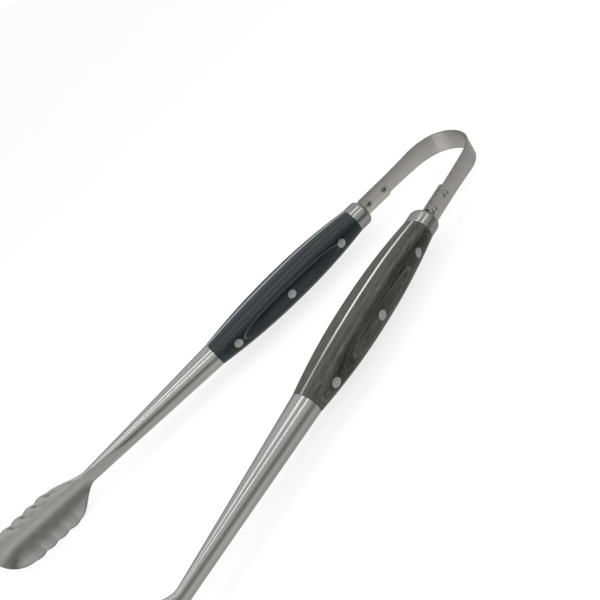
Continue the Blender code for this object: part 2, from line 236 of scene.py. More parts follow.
def tidy_faces(mesh: Mesh) -> Mesh:
    """Merges doubled points, and turns every face outward.

    Args:
        mesh: the mesh to tidy.

    Returns:
        The same mesh.
    """
    bm = bmesh.new()
    bm.from_mesh(mesh)
    bmesh.ops.remove_doubles(bm, verts=bm.verts, dist=1e-7)
    bmesh.ops.recalc_face_normals(bm, faces=bm.faces)
    bm.to_mesh(mesh)
    bm.free()
    return mesh


def smooth(mesh: Mesh, sharp_degrees: float = 38.0) -> Mesh:
    """Smooths a mesh, apart from edges that turn by more than an angle."""
    mesh.shade_smooth()
    mesh.set_sharp_from_angle(angle=math.radians(sharp_degrees))
    return mesh


def skin(rings: list[np.ndarray]) -> Mesh:
    """Lays a closed smooth skin over rings of points, with a cap on each end.

    Args:
        rings: rows of (out, along, up) for each ring, all as long.

    Returns:
        The new mesh.
    """
    grid = np.array(rings)
    stations, count, _ = grid.shape
    low = np.arange((stations - 1) * count).reshape(-1, count)
    quads = np.stack((low, np.roll(low, -1, 1), np.roll(low, -1, 1) + count, low + count), axis=2)
    caps = [list(range(count)), list(range((stations - 1) * count, stations * count))]
    mesh = bpy.data.meshes.new("skin")
    mesh.from_pydata(grid.reshape(-1, 3).tolist(), [], quads.reshape(-1, 4).tolist() + caps)
    return smooth(tidy_faces(mesh))


def joined(*meshes: Mesh) -> Mesh:
    """One new mesh of several.

    Args:
        *meshes: the meshes to join.

    Returns:
        The new mesh.
    """
    made, bm = bpy.data.meshes.new("joined"), bmesh.new()
    for mesh in meshes:
        bm.from_mesh(mesh)
    bm.to_mesh(made)
    bm.free()
    return made


def points_of(mesh: Mesh) -> np.ndarray:
    """The mesh's points, as rows of three numbers."""
    values = np.zeros(len(mesh.vertices) * 3, np.float32)
    mesh.vertices.foreach_get("co", values)
    return values.reshape(-1, 3)


def stamp(mesh: Mesh, name: str, values: np.ndarray) -> None:
    """Keeps a number or a vector for each point on the mesh, for the patterns of its finish."""
    kind, field = ("FLOAT", "value") if values.ndim == 1 else ("FLOAT_VECTOR", "vector")
    mesh.attributes.new(name, kind, "POINT").data.foreach_set(field, values.astype(np.float32).ravel())


def stamp_edges(mesh: Mesh) -> None:
    """Marks how near each point is to a standing edge; half the mark spreads to the points beside.

    Args:
        mesh: the mesh to mark.
    """
    bm = bmesh.new()
    bm.from_mesh(mesh)
    values = np.zeros(len(bm.verts), np.float32)
    for edge in bm.edges:
        if len(edge.link_faces) == 2:
            share = min(max(edge.calc_face_angle_signed(0.0) / FULL_EDGE, 0.0), 1.0)
            for vert in edge.verts:
                values[vert.index] = max(values[vert.index], share)
    bm.free()
    pairs = np.zeros(len(mesh.edges) * 2, np.int32)
    mesh.edges.foreach_get("vertices", pairs)
    spread = values.copy()
    for here, there in (pairs.reshape(-1, 2).T, pairs.reshape(-1, 2).T[::-1]):
        np.maximum.at(spread, here, values[there] * 0.5)
    stamp(mesh, EDGE, spread)


def stamp_rims(mesh: Mesh, start: float, reach: float, far: float = math.inf, facing: float = 0.3) -> None:
    """Marks the cut edges of a flat strip as edges and clears its broad faces, from a place along on.

    Args:
        mesh: the mesh to mark, which already keeps its own coordinates.
        start: the place along it where the strip starts.
        reach: how far above and below the strip's middle its long rims may start.
        far: the place along it where the rim of its end may start.
        facing: how much a rim's normal turns from the broad faces at least.
    """
    own, marks = mesh.attributes[PLACE].data, mesh.attributes[EDGE].data
    for vert in mesh.vertices:
        _, along, up = own[vert.index].vector
        if along > start:
            long_rim = abs(up) > reach and abs(vert.normal.z) > facing
            marks[vert.index].value = float(long_rim or along > far and vert.normal.y > facing)


def new_object(name: str, data: ID) -> Object:
    """Links a new object to the scene."""
    made = bpy.data.objects.new(name, data)
    bpy.context.scene.collection.objects.link(made)
    return made


def baked_mesh(source: Object) -> Mesh:
    """Works an object's modifiers into a plain mesh, and removes the object.

    Args:
        source: the object.

    Returns:
        The mesh.
    """
    bpy.context.view_layer.update()
    graph = bpy.context.evaluated_depsgraph_get()
    mesh = bpy.data.meshes.new_from_object(source.evaluated_get(graph), depsgraph=graph)
    bpy.data.objects.remove(source, do_unlink=True)
    return mesh


def cut_away(mesh: Mesh, cutters: list[Mesh]) -> Mesh:
    """Cuts closed shapes out of a mesh.

    Args:
        mesh: the mesh to cut.
        cutters: the shapes.

    Returns:
        The cut mesh.
    """
    body = new_object("cut_body", mesh)
    tools = [new_object("cut_tool", cutter) for cutter in cutters]
    for tool in tools:
        step = body.modifiers.new("cut", "BOOLEAN")
        step.operation, step.solver, step.object = "DIFFERENCE", "EXACT", tool
    made = baked_mesh(body)
    for tool in tools:
        bpy.data.objects.remove(tool, do_unlink=True)
    return made


def drill(along: float, radius: float, out: Pair, count: int = 48) -> Mesh:
    """A round rod across the arm that cuts a hole at a place along, between two distances out."""
    turn = np.linspace(0.0, math.tau, count, endpoint=False)
    ends = [(np.full_like(turn, end), along + radius * np.cos(turn), radius * np.sin(turn)) for end in out]
    return skin([np.stack(end, axis=1) for end in ends])


def new_piece(name: str, mesh: Mesh, material: Material) -> Object:
    """Links a finished mesh to the scene with its one material.

    Args:
        name: name of the piece and its mesh.
        mesh: the mesh.
        material: its material.

    Returns:
        The new piece.
    """
    mesh.name = name
    mesh.materials.clear()
    mesh.materials.append(material)
    return new_object(name, mesh)


def settle(mesh: Mesh, name: str, material: Material, arm: ArmFrame) -> Object:
    """Puts a finished mesh in its place on the tongs and gives it its material.

    Args:
        mesh: the mesh in the arm's own coordinates.
        name: name of the piece.
        material: its material.
        arm: the arm that it belongs to.

    Returns:
        The piece, riding on the arm's body.
    """
    stamp(mesh, PLACE, points_of(mesh))
    stamp_edges(mesh)
    mesh.transform(arm.matrix())
    if arm.side is Side.LEFT:
        mesh.flip_normals()
    piece = new_piece(name, mesh, material)
    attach(piece, arm.side.body)
    return piece


class Flow:
    """A value that runs through a node tree; what is done with it adds nodes."""

    def __init__(self, sketch: "Sketch", socket: NodeSocket) -> None:
        """Starts at a socket of a sketch's tree."""
        self.sketch, self.socket = sketch, socket

    def maths(self, operation: str, *others: object, clamp: bool = False) -> "Flow":
        """A Math node on this value and others."""
        feeds = dict(enumerate((self, *others)))
        return self.sketch.flow("ShaderNodeMath", feeds, operation=operation, use_clamp=clamp)

    def __add__(self, other: object) -> "Flow":
        """The sum."""
        return self.maths("ADD", other)

    def __sub__(self, other: object) -> "Flow":
        """The difference."""
        return self.maths("SUBTRACT", other)

    def __rsub__(self, other: float) -> "Flow":
        """A number less this value."""
        return self.sketch.flow("ShaderNodeMath", {0: other, 1: self}, operation="SUBTRACT")

    def __mul__(self, other: object) -> "Flow":
        """The product."""
        return self.maths("MULTIPLY", other)

    def __truediv__(self, other: object) -> "Flow":
        """The quotient."""
        return self.maths("DIVIDE", other)

    def vector(self, operation: str, *others: object) -> "Flow":
        """A Vector Math node on this vector and others; SCALE takes a number.

        Args:
            operation: the node's operation.
            *others: its other inputs in order.

        Returns:
            The result, a vector or a number.
        """
        made = self.sketch.node("ShaderNodeVectorMath", operation=operation)
        for socket, value in zip([s for s in made.inputs if s.enabled], (self, *others)):
            self.sketch.feed(socket, value)
        return Flow(self.sketch, next(s for s in made.outputs if s.enabled))

    def parts(self) -> list["Flow"]:
        """The three parts of this vector."""
        made = self.sketch.node("ShaderNodeSeparateXYZ", {0: self})
        return [Flow(self.sketch, part) for part in made.outputs]

    def eased(self, span: tuple[object, object], result: tuple[object, object] = (0.0, 1.0)) -> "Flow":
        """This value, eased and clamped from one span to another."""
        feeds = dict(enumerate((self, *span, *result)))
        return self.sketch.flow("ShaderNodeMapRange", feeds, interpolation_type="SMOOTHSTEP")

    def noise(self, detail: float = 2.0, rough: float = 0.5) -> "Flow":
        """A noise of one wave per unit, read at this vector."""
        feeds = {"Vector": self, "Scale": 1.0, "Detail": detail, "Roughness": rough}
        return self.sketch.flow("ShaderNodeTexNoise", feeds)

    def blend(self, first: object, second: object) -> "Flow":
        """Two colours mixed by this share of the second."""
        return self.sketch.flow("ShaderNodeMix", {"Factor": self, 6: first, 7: second}, 2, data_type="RGBA")


class Sketch:
    """Adds nodes to a node tree and joins them."""

    def __init__(self, tree: NodeTree) -> None:
        """Works on the given tree."""
        self.tree = tree

    def feed(self, socket: NodeSocket, value: object) -> None:
        """Joins a socket to a flow, or sets its value; colours are opaque.

        Args:
            socket: the input.
            value: a flow, or the value to set.
        """
        if isinstance(value, Flow):
            self.tree.links.new(value.socket, socket)
        else:
            socket.default_value = (*value, 1.0) if socket.type == "RGBA" else value

    def fill(self, made: Node, feeds: dict) -> Node:
        """Feeds a node's inputs by name or number."""
        for key, value in feeds.items():
            self.feed(made.inputs[key], value)
        return made

    def node(self, kind: str, feeds: dict | None = None, **settings: object) -> Node:
        """Adds a node.

        Args:
            kind: its type name.
            feeds: its inputs by name or number.
            **settings: its properties.

        Returns:
            The new node.
        """
        made = self.tree.nodes.new(kind)
        for key, value in settings.items():
            setattr(made, key, value)
        return self.fill(made, feeds or {})

    def flow(self, kind: str, feeds: dict | None = None, output: int | str = 0, **settings: object) -> Flow:
        """Adds a node as node does, and follows one of its outputs."""
        return Flow(self, self.node(kind, feeds, **settings).outputs[output])

    def join(self, x: object = 0.0, y: object = 0.0, z: object = 0.0) -> Flow:
        """A vector of three parts."""
        return self.flow("ShaderNodeCombineXYZ", {0: x, 1: y, 2: z})

    def ports(self, sockets: object) -> SimpleNamespace:
        """Flows that start at sockets, by the sockets' names."""
        return SimpleNamespace(**{s.name: Flow(self, s) for s in sockets if s.name})

    def mark(self, name: str, output: str) -> Flow:
        """Reads a mark that the mesh carries."""
        return self.flow("ShaderNodeAttribute", None, output, attribute_name=name, attribute_type="GEOMETRY")

    def ramp(self, share: Flow, stops: list[Pair], interpolation: str) -> Flow:
        """A value that depends on a share.

        Args:
            share: from 0 to 1.
            stops: pairs of share and value.
            interpolation: how the ramp runs between them.

        Returns:
            The value.
        """
        made = self.node("ShaderNodeValToRGB", {"Fac": share})
        elements = made.color_ramp.elements
        made.color_ramp.interpolation = interpolation
        for k, (at, value) in enumerate(stops):
            step = elements[k] if k < 2 else elements.new(at)
            step.position, step.color = at, (value, value, value, 1.0)
        return Flow(self, made.outputs["Color"])

    def put(self, shape: Flow, place: Flow, where: object = True) -> Flow:
        """Moves the points of a shape to a place."""
        feeds = {"Geometry": shape, "Selection": where, "Position": place}
        return self.flow("GeometryNodeSetPosition", feeds)


class NodeGroup:
    """A node group that is built once and used with values of its own."""

    title = "group"
    tree_kind = "ShaderNodeTree"
    output_kind = ""

    def wire(self, sketch: Sketch, port: SimpleNamespace) -> dict[str, Flow]:
        """Joins the nodes inside, and names what comes out; each group has its own."""
        raise NotImplementedError

    def _socket_type(self, value: object) -> str:
        """The type name of a socket that takes a value or carries a flow on."""
        word = value.socket.type if isinstance(value, Flow) else type(value).__name__
        return "NodeSocket" + SOCKET_WORDS.get(word, word.capitalize())

    def tree(self, inputs: dict[str, object]) -> NodeTree:
        """The group's node tree, built the first time.

        Args:
            inputs: a value for each named input.

        Returns:
            The tree.
        """
        made = bpy.data.node_groups.get(self.title)
        if made is None:
            made = bpy.data.node_groups.new(self.title, self.tree_kind)
            for name, value in inputs.items():
                made.interface.new_socket(name, in_out="INPUT", socket_type=self._socket_type(value))
            sketch = Sketch(made)
            results = self.wire(sketch, sketch.ports(sketch.node("NodeGroupInput").outputs))
            for name, flow in results.items():
                kind = self.output_kind or self._socket_type(flow)
                made.interface.new_socket(name, in_out="OUTPUT", socket_type=kind)
            sketch.node("NodeGroupOutput", results)
        return made

    def use(self, sketch: Sketch, **inputs: object) -> SimpleNamespace:
        """Puts the group in a material, and gives its outputs by name."""
        made = sketch.node("ShaderNodeGroup", inputs, node_tree=self.tree(inputs))
        return sketch.ports(made.outputs)


class GrindingMarks(NodeGroup):
    """Fine scratches that run one way over a metal surface, with broader bands among them."""

    title = "grinding_marks"
    band_scale = 0.3

    def wire(self, sketch: Sketch, port: SimpleNamespace) -> dict[str, Flow]:
        """Stretches two noises, a fine one and a broad one."""
        fine = port.place.vector("MULTIPLY", port.stretch).vector("SCALE", port.fineness)
        return {"streaks": fine.noise(), "bands": fine.vector("SCALE", self.band_scale).noise()}


class HandlingMarks(NodeGroup):
    """Soft smudges left by hands and by the dishcloth."""

    title = "handling_marks"
    smudge_scale = 120.0

    def wire(self, sketch: Sketch, port: SimpleNamespace) -> dict[str, Flow]:
        """Eases a broad noise."""
        return {"smudges": port.place.vector("SCALE", self.smudge_scale).noise(3.0, 0.55).eased((0.4, 0.68))}


class RubbedEdges(NodeGroup):
    """Edges rubbed, broken up unevenly; with a negative gain the same mark lays painted shade on rims."""

    title = "rubbed_edges"
    patch_scale = 700.0

    def wire(self, sketch: Sketch, port: SimpleNamespace) -> dict[str, Flow]:
        """Multiplies the edge mark by a patchy noise."""
        patchy = port.place.vector("SCALE", self.patch_scale).noise(3.0, 0.6).eased((0.3, 0.6), (0.6, 1.0))
        return {"rub": port.edge.eased((0.25, 0.9)).maths("MULTIPLY", patchy, clamp=True)}


class LaminatedGrain(NodeGroup):
    """Dyed laminate: veneers parallel to the tang, each with lengthwise grain of its own."""

    title = "laminated_grain"
    wander_scale = (60.0, 21.0, 60.0)
    wander_gain = 3.0
    streak_scale = (760.0, 17.0, 760.0)
    dash_scale = (1350.0, 140.0, 1350.0)
    fleck_scale = (1500.0, 260.0, 1500.0)
    hue_scale = (110.0, 45.0, 110.0)
    streak_share = 0.45
    fleck_depth = 0.4
    seam_reach = 0.14
    bend_centre = -0.01
    seed = 0.37
    start_across = 0.7
    start_along = 3.1
    top_light = (-0.004, 0.001)
    lowest_seam = 0.15

    def wire(self, sketch: Sketch, port: SimpleNamespace) -> dict[str, Flow]:
        """Counts the veneers outward from the tang, and starts each one's grain elsewhere.

        Args:
            sketch: the group's sketch.
            port: the group's inputs by name.

        Returns:
            The group's outputs by name.
        """
        out, along, up = port.place.parts()
        wave = port.place.vector("MULTIPLY", self.wander_scale).noise(rough=0.45) - 0.5
        wave = wave * self.wander_gain * port.wander
        away = along - self.bend_centre
        depth = out.maths("ABSOLUTE") + wave + port.shift + along * port.tilt + away * away * port.bend
        count = depth / port.veneer
        number = {"W": count.maths("FLOOR") + self.seed}
        random = sketch.flow("ShaderNodeTexWhiteNoise", number, "Value", noise_dimensions="1D")
        moved = port.place.vector("ADD", sketch.join(random * self.start_across, random * self.start_along))
        streaks = moved.vector("MULTIPLY", self.streak_scale).noise(3.0, 0.6)
        dashes = moved.vector("MULTIPLY", self.dash_scale).noise()
        grain = streaks * self.streak_share + dashes * (1.0 - self.streak_share)
        flecks = moved.vector("MULTIPLY", self.fleck_scale).noise(1.0).eased((0.58, 0.74))
        within = count.maths("FRACT")
        seam = within.maths("MINIMUM", 1.0 - within).eased((0.0, self.seam_reach), (1.0, 0.0))
        return {
            "count": count,
            # Seam lines, partly painted highlight, are full strength on the upper half and weaker lower down.
            "seam": seam * up.eased(self.top_light, (self.lowest_seam, 1.0)),
            "grain": grain,
            "flecks": flecks,
            "height": grain - flecks * self.fleck_depth,
            "hue": port.place.vector("MULTIPLY", self.hue_scale).noise().eased((0.35, 0.65)),
        }


class RoomLight(NodeGroup):
    """How bright the room looks in each direction: pale table, darker camera side, bright ceiling."""

    title = "room_light"
    output_kind = "NodeSocketColor"
    front = (
        (-1.00, 0.76), (-0.90, 0.84), (-0.77, 0.96), (-0.64, 1.02), (-0.51, 0.92), (-0.38, 0.62),
        (-0.20, 0.38), (-0.04, 0.35), (0.10, 0.44), (0.23, 0.64), (0.36, 0.90), (0.50, 1.02),
        (0.70, 1.00), (0.86, 0.95), (0.95, 0.88), (1.00, 0.85),
    )
    rear = (
        (-1.00, 0.80), (-0.50, 0.74), (-0.12, 0.58), (0.05, 0.52), (0.20, 0.60), (0.35, 0.76),
        (0.50, 0.94), (0.64, 1.12), (0.77, 0.95), (0.87, 0.72), (0.95, 0.78), (1.00, 0.85),
    )
    card_gain = 0.36
    shade_gain = 0.11
    low_tint = (1.0, 0.995, 0.985)
    high_tint = (0.985, 0.995, 1.0)

    def _profile(self, height: Flow, stops: tuple[Pair, ...]) -> Flow:
        """A brightness by height, from pairs of height and brightness, of which a ramp holds half."""
        halves = [((at + 1.0) / 2.0, value / 2.0) for at, value in stops]
        return height.sketch.ramp(height.maths("MULTIPLY_ADD", 0.5, 0.5), halves, "B_SPLINE") * 2.0

    def _card(self, x: Flow, y: Flow, z: Flow) -> Flow:
        """What a bright card low down before the jaws adds, and a shade behind the bow takes away.

        Args:
            x: the direction's part across the opening.
            y: its part towards the bow.
            z: its part upward.

        Returns:
            The change in brightness, which the bow mirrors.
        """
        heading = y / (x * x + y * y).maths("SQRT").maths("MAXIMUM", 0.001)
        gain = heading.eased((-0.87, -0.95)) * self.card_gain
        loss = heading.eased((0.3, 0.9)) * self.shade_gain
        return (gain - loss) * z.eased((0.10, -0.15))

    def wire(self, sketch: Sketch, port: SimpleNamespace) -> dict[str, Flow]:
        """Mixes the two profiles by how far a direction points to the camera side.

        Args:
            sketch: the group's sketch.
            port: the group's inputs by name.

        Returns:
            The group's output by name.
        """
        x, y, z = port.direction.parts()
        share = x.eased((-0.05, 0.75))
        both = self._profile(z, self.front) * share + self._profile(z, self.rear) * (1.0 - share)
        tint = z.eased((-0.4, 0.7)).blend(self.low_tint, self.high_tint)
        return {"light": tint.vector("SCALE", both + self._card(x, y, z))}


def fresh_material(name: str) -> tuple[Material, Sketch, Node]:
    """A new material, its sketch, and its Principled shader."""
    made = bpy.data.materials.new(name)
    made.use_nodes = True
    return made, Sketch(made.node_tree), made.node_tree.nodes["Principled BSDF"]


@dataclass(frozen=True)
class Zone:
    """A stretch of the arm, by default along it, finished unlike the rest, or painted with highlight or
    shade.
    """

    start: float
    end: float
    colour: Triple
    roughness: float
    edge_gain: float = 0.0
    axis: int = 1
    # peak, the fall-off and least shape a painted highlight that dims away from the peak, down to least
    peak: float = 0.0
    fade: float = 0.0
    least: float = 0.42


@dataclass(frozen=True)
class SteelFinish:
    """A ground or polished steel surface."""

    name: str
    colour: Triple
    roughness: float
    marks: Marks
    fineness: float = 900.0
    relief: float = 0.012
    relief_depth: float = 0.0001
    spread: float = 0.05
    variation: float = 0.08
    smudge: float = 0.05
    edge_gain: float = 0.25
    zones: tuple[Zone, ...] = ()

    def _zoned(self, place: Flow, rub: Flow, colour: Flow, roughness: Flow) -> tuple[Flow, Flow]:
        """Lays each zone's finish, painted highlight or shade over the base, then brightens or darkens edges.

        Args:
            place: the arm's own coordinates.
            rub: mark of the rubbed edges, and of rims that take painted shade.
            colour: base colour.
            roughness: base roughness.

        Returns:
            The colour and roughness with the zones.
        """
        parts = place.parts()
        edge: object = self.edge_gain
        for zone in self.zones:
            at = parts[zone.axis]
            share = at.maths("GREATER_THAN", zone.start) * at.maths("LESS_THAN", zone.end)
            tinted = colour.vector("MULTIPLY", tuple(z / c for z, c in zip(zone.colour, self.colour)))
            # A zone with a fall-off dims away from its peak: a painted highlight.
            if zone.fade:
                away = at - zone.peak
                tinted = tinted.vector("SCALE", (away * away * -zone.fade + 1.0).maths("MAXIMUM", zone.least))
            colour = share.blend(colour, tinted)
            roughness = roughness + share * (zone.roughness - self.roughness)
            edge = share * (zone.edge_gain - self.edge_gain) + edge
        # A positive gain brightens rubbed edges as wear; a negative gain darkens rims as painted shade.
        return colour.vector("SCALE", rub.maths("MULTIPLY_ADD", edge, 1.0)), roughness

    def build(self) -> Material:
        """Makes the material from the shared groups.

        Returns:
            The material.
        """
        made, sketch, shader = fresh_material(self.name)
        place = sketch.mark(PLACE, "Vector")
        ground = GrindingMarks().use(sketch, place=place, stretch=self.marks.value, fineness=self.fineness)
        rub = RubbedEdges().use(sketch, place=place, edge=sketch.mark(EDGE, "Fac")).rub
        shade, light = (
            tuple(min(c * (1.0 + sign * self.variation), 1.0) for c in self.colour) for sign in (-1, 1)
        )
        span = (self.roughness - self.spread, self.roughness + self.spread)
        smudges = HandlingMarks().use(sketch, place=place).smudges * self.smudge
        colour = ground.bands.eased(MIDDLING).blend(shade, light)
        roughness = ground.streaks.eased(MIDDLING, span) + smudges
        colour, roughness = self._zoned(place, rub, colour, roughness)
        relief = {"Height": ground.streaks, "Strength": self.relief, "Distance": self.relief_depth}
        sketch.fill(shader, {
            "Base Color": colour,
            "Roughness": roughness.maths("ADD", 0.0, clamp=True),
            "Metallic": 1.0,
            "Normal": sketch.flow("ShaderNodeBump", relief),
        })
        return made


@dataclass(frozen=True)
class WoodFinish:
    """A dyed and polished laminate: veneer tones, partly painted shade, and seam strengths, partly painted
    highlight.
    """

    name: str
    dark: Triple
    light: Triple
    seam: Triple
    tones: tuple[float, ...]
    seams: tuple[float, ...]
    veneer: float = 0.0009
    shift: float = 0.0
    wander: float = 0.0003
    tilt: float = 0.0
    bend: float = 0.0
    hues: tuple[Triple, Triple] = ((1.0, 0.99, 0.97), (0.99, 1.0, 1.02))
    grain_span: Pair = (0.32, 0.68)
    grain_share: float = 0.5
    fleck_tone: float = 0.2
    fleck_roughness: float = 0.12
    smudge: float = 0.07
    roughness: float = 0.29
    coat: float = 0.12
    coat_roughness: float = 0.16
    specular: float = 0.21
    relief: float = 0.10
    relief_depth: float = 0.0002

    def _steps(self, count: Flow, values: tuple[float, ...]) -> Flow:
        """One value for each veneer, counted from the tang."""
        stops = [(k / len(values), value) for k, value in enumerate(values)]
        return count.sketch.ramp(count / float(len(values)), stops, "CONSTANT")

    def build(self) -> Material:
        """Makes the material from the shared groups.

        Returns:
            The material.
        """
        made, sketch, shader = fresh_material(self.name)
        place = sketch.mark(PLACE, "Vector")
        sizes = {word: getattr(self, word) for word in ("veneer", "shift", "wander", "tilt", "bend")}
        wood = LaminatedGrain().use(sketch, place=place, **sizes)
        grain = wood.grain.eased(self.grain_span, (-self.grain_share, self.grain_share))
        # Veneer tones differ at random, and the outer veneers are darker as painted shade on the side faces.
        tone = self._steps(wood.count, self.tones) + grain
        tone = tone.maths("SUBTRACT", wood.flecks * self.fleck_tone, clamp=True)
        colour = tone.blend(self.dark, self.light)
        # Seam lines are the glue lines between veneers, and in part painted highlight.
        colour = (wood.seam * self._steps(wood.count + 0.5, self.seams)).blend(colour, self.seam)
        smudges = HandlingMarks().use(sketch, place=place).smudges * self.smudge
        roughness = wood.flecks.maths("MULTIPLY_ADD", self.fleck_roughness, self.roughness)
        relief = {"Height": wood.height, "Strength": self.relief, "Distance": self.relief_depth}
        sketch.fill(shader, {
            "Base Color": colour.vector("MULTIPLY", wood.hue.blend(*self.hues)),
            "Roughness": roughness.maths("ADD", smudges, clamp=True),
            "Specular IOR Level": self.specular,
            "Coat Weight": self.coat,
            "Coat Roughness": self.coat_roughness,
            "Normal": sketch.flow("ShaderNodeBump", relief),
        })
        return made


@dataclass(frozen=True)
class Finishes:
    """Every finish of the tongs, made once and shared by its pieces."""

    bolster: SteelFinish = SteelFinish(
        "polished_bolster_steel", (0.26, 0.26, 0.255), 0.19, Marks.LENGTHWISE, spread=0.012
    )
    pin: SteelFinish = SteelFinish("satin_pin_steel", (0.34, 0.358, 0.351), 0.42, Marks.ACROSS)
    rivet: SteelFinish = SteelFinish(
        "bright_rivet_steel", (0.33, 0.33, 0.32), 0.13, Marks.EVERY_WAY,
        zones=(
            Zone(-0.01, 0.0018, (0.30, 0.30, 0.285), 0.30, axis=0),
            # A dark band round the foot of each domed head is painted shadow where it meets the strip.
            Zone(0.0037, 0.00412, (0.10, 0.10, 0.095), 0.30, axis=0),
        ),
    )
    bow: SteelFinish = SteelFinish(
        "satin_bow_steel", (0.400, 0.394, 0.379), 0.32, Marks.LENGTHWISE,
        # edge_gain below zero darkens the strip's rims as painted shade
        fineness=1300.0, variation=0.03, smudge=0.08, edge_gain=-0.6,
    )
    # One laminate twice: the left copy is darker and bluer as painted shade, the right copy lighter as
    # painted light.
    wood_left: WoodFinish = WoodFinish(
        "laminate_blue_black", (0.0045, 0.0065, 0.008), (0.030, 0.035, 0.039), (0.115, 0.12, 0.125),
        tones=(0.5, 0.5, 0.5, 0.55, 0.48, 0.52, 0.5, 0.54, 0.5, 0.58, 0.34, 0.16, 0.2, 0.5, 0.5, 0.5),
        seams=(0.0, 0.0, 0.0, 0.0, 0.0, 0.0, 0.02, 0.0, 0.0, 0.0, 0.0, 0.0, 0.85, 0.0, 0.0, 0.0),
        shift=-0.00145, wander=0.00012, bend=0.3, hues=((1.06, 0.96, 1.05), (0.86, 1.04, 0.96)),
        grain_share=0.22, coat=0.14,
    )
    wood_right: WoodFinish = WoodFinish(
        "laminate_charcoal", (0.0105, 0.0108, 0.0093), (0.086, 0.086, 0.078), (0.21, 0.21, 0.19),
        tones=(0.66, 0.66, 0.68, 0.7, 0.64, 0.6, 0.52, 0.48, 0.5, 0.68, 0.52, 0.26, 0.08, 0.2, 0.42, 0.52),
        seams=(0.0, 0.0, 0.0, 0.0, 0.0, 0.08, 0.0, 0.14, 0.08, 0.1, 0.42, 0.08, 0.1, 0.12, 0.24, 0.1),
        wander=0.0005, tilt=0.0133, grain_share=0.32,
    )
    arm_colour: Triple = (0.34, 0.342, 0.335)
    # The strap's last stretch is darker, painted shade where its end meets the strip.
    strap_end_colour: Triple = (0.30, 0.295, 0.284)

    def arm(self, side: Side) -> SteelFinish:
        """The forging's finish; its flush edge has a painted highlight, brighter on the right, and its strap
        is satin.

        Args:
            side: which arm.

        Returns:
            The finish with its zones.
        """
        # The flush edge's tone is a painted highlight, brighter on the right, where it also dims away from
        # the belly.
        flush_highlight, fade = (0.52, 0.0) if side is Side.LEFT else (0.78, 180.0)
        # The strap takes the bow's satin, with the same painted shade darkening its rims.
        satin = (self.bow.roughness, self.bow.edge_gain)
        zones = (
            Zone(-0.06285, 0.06462, (flush_highlight, flush_highlight, flush_highlight * 0.98), 0.3, peak=0.015, fade=fade),
            Zone(0.06462, 0.0988, self.bow.colour, *satin),
            Zone(0.0988, 0.2, self.strap_end_colour, *satin),
        )
        name = f"ground_{side.label}_arm_steel"
        return SteelFinish(
            name, self.arm_colour, 0.19, Marks.LENGTHWISE, spread=0.014, edge_gain=0.1, zones=zones
        )

    def wood(self, side: Side) -> WoodFinish:
        """The laminate of one arm: left a copy in painted shade, right a copy painted lit."""
        return self.wood_left if side is Side.LEFT else self.wood_right


@dataclass(frozen=True)
class Jaw:
    """The scalloped spoon at the arm's front end."""

    length: float = 0.078
    half_width: float = 0.016
    half_thickness: float = 0.0009
    squareness: float = 4.0
    depth: float = 0.0058
    rim_inward: float = 0.0042
    tip_length: float = 0.015
    tip_sweep: float = math.radians(88.5)
    neck: float = 0.024
    scallop_height: float = 0.0013
    scallops: int = 4
    lobe_stations: int = 22
    end_stations: int = 26
    lean: float = math.tan(math.radians(12.308 - 9.6))

    @property
    def straight(self) -> float:
        """Length ahead of the root at which the rounded tip starts."""
        return self.length - self.tip_length

    def width(self, ahead: float, root: float) -> float:
        """Half width of the jaw.

        Args:
            ahead: distance ahead of the root.
            root: half width there.

        Returns:
            The half width at that distance.
        """
        if ahead > self.straight:
            share = min((ahead - self.straight) / self.tip_length, 1.0)
            return self.half_width * math.sqrt(max(1.0 - share * share, 0.0))
        width = mix(root, self.half_width, ease(ahead / self.neck))
        if ahead > self.neck:
            lobe = math.pi * self.scallops * (ahead - self.neck) / (self.straight - self.neck)
            width += self.scallop_height * abs(math.sin(lobe))
        return width

    def places(self) -> list[float]:
        """Distances ahead of the root at which the jaw has a section.

        Returns:
            The distances in order.
        """
        turns = [self.tip_sweep * k / self.end_stations for k in range(self.end_stations + 1)]
        lobes = steps(self.neck, self.straight, self.scallops * self.lobe_stations)
        tip = [self.straight + self.tip_length * math.sin(turn) for turn in turns]
        return steps(0.0, self.neck, self.end_stations) + lobes + tip


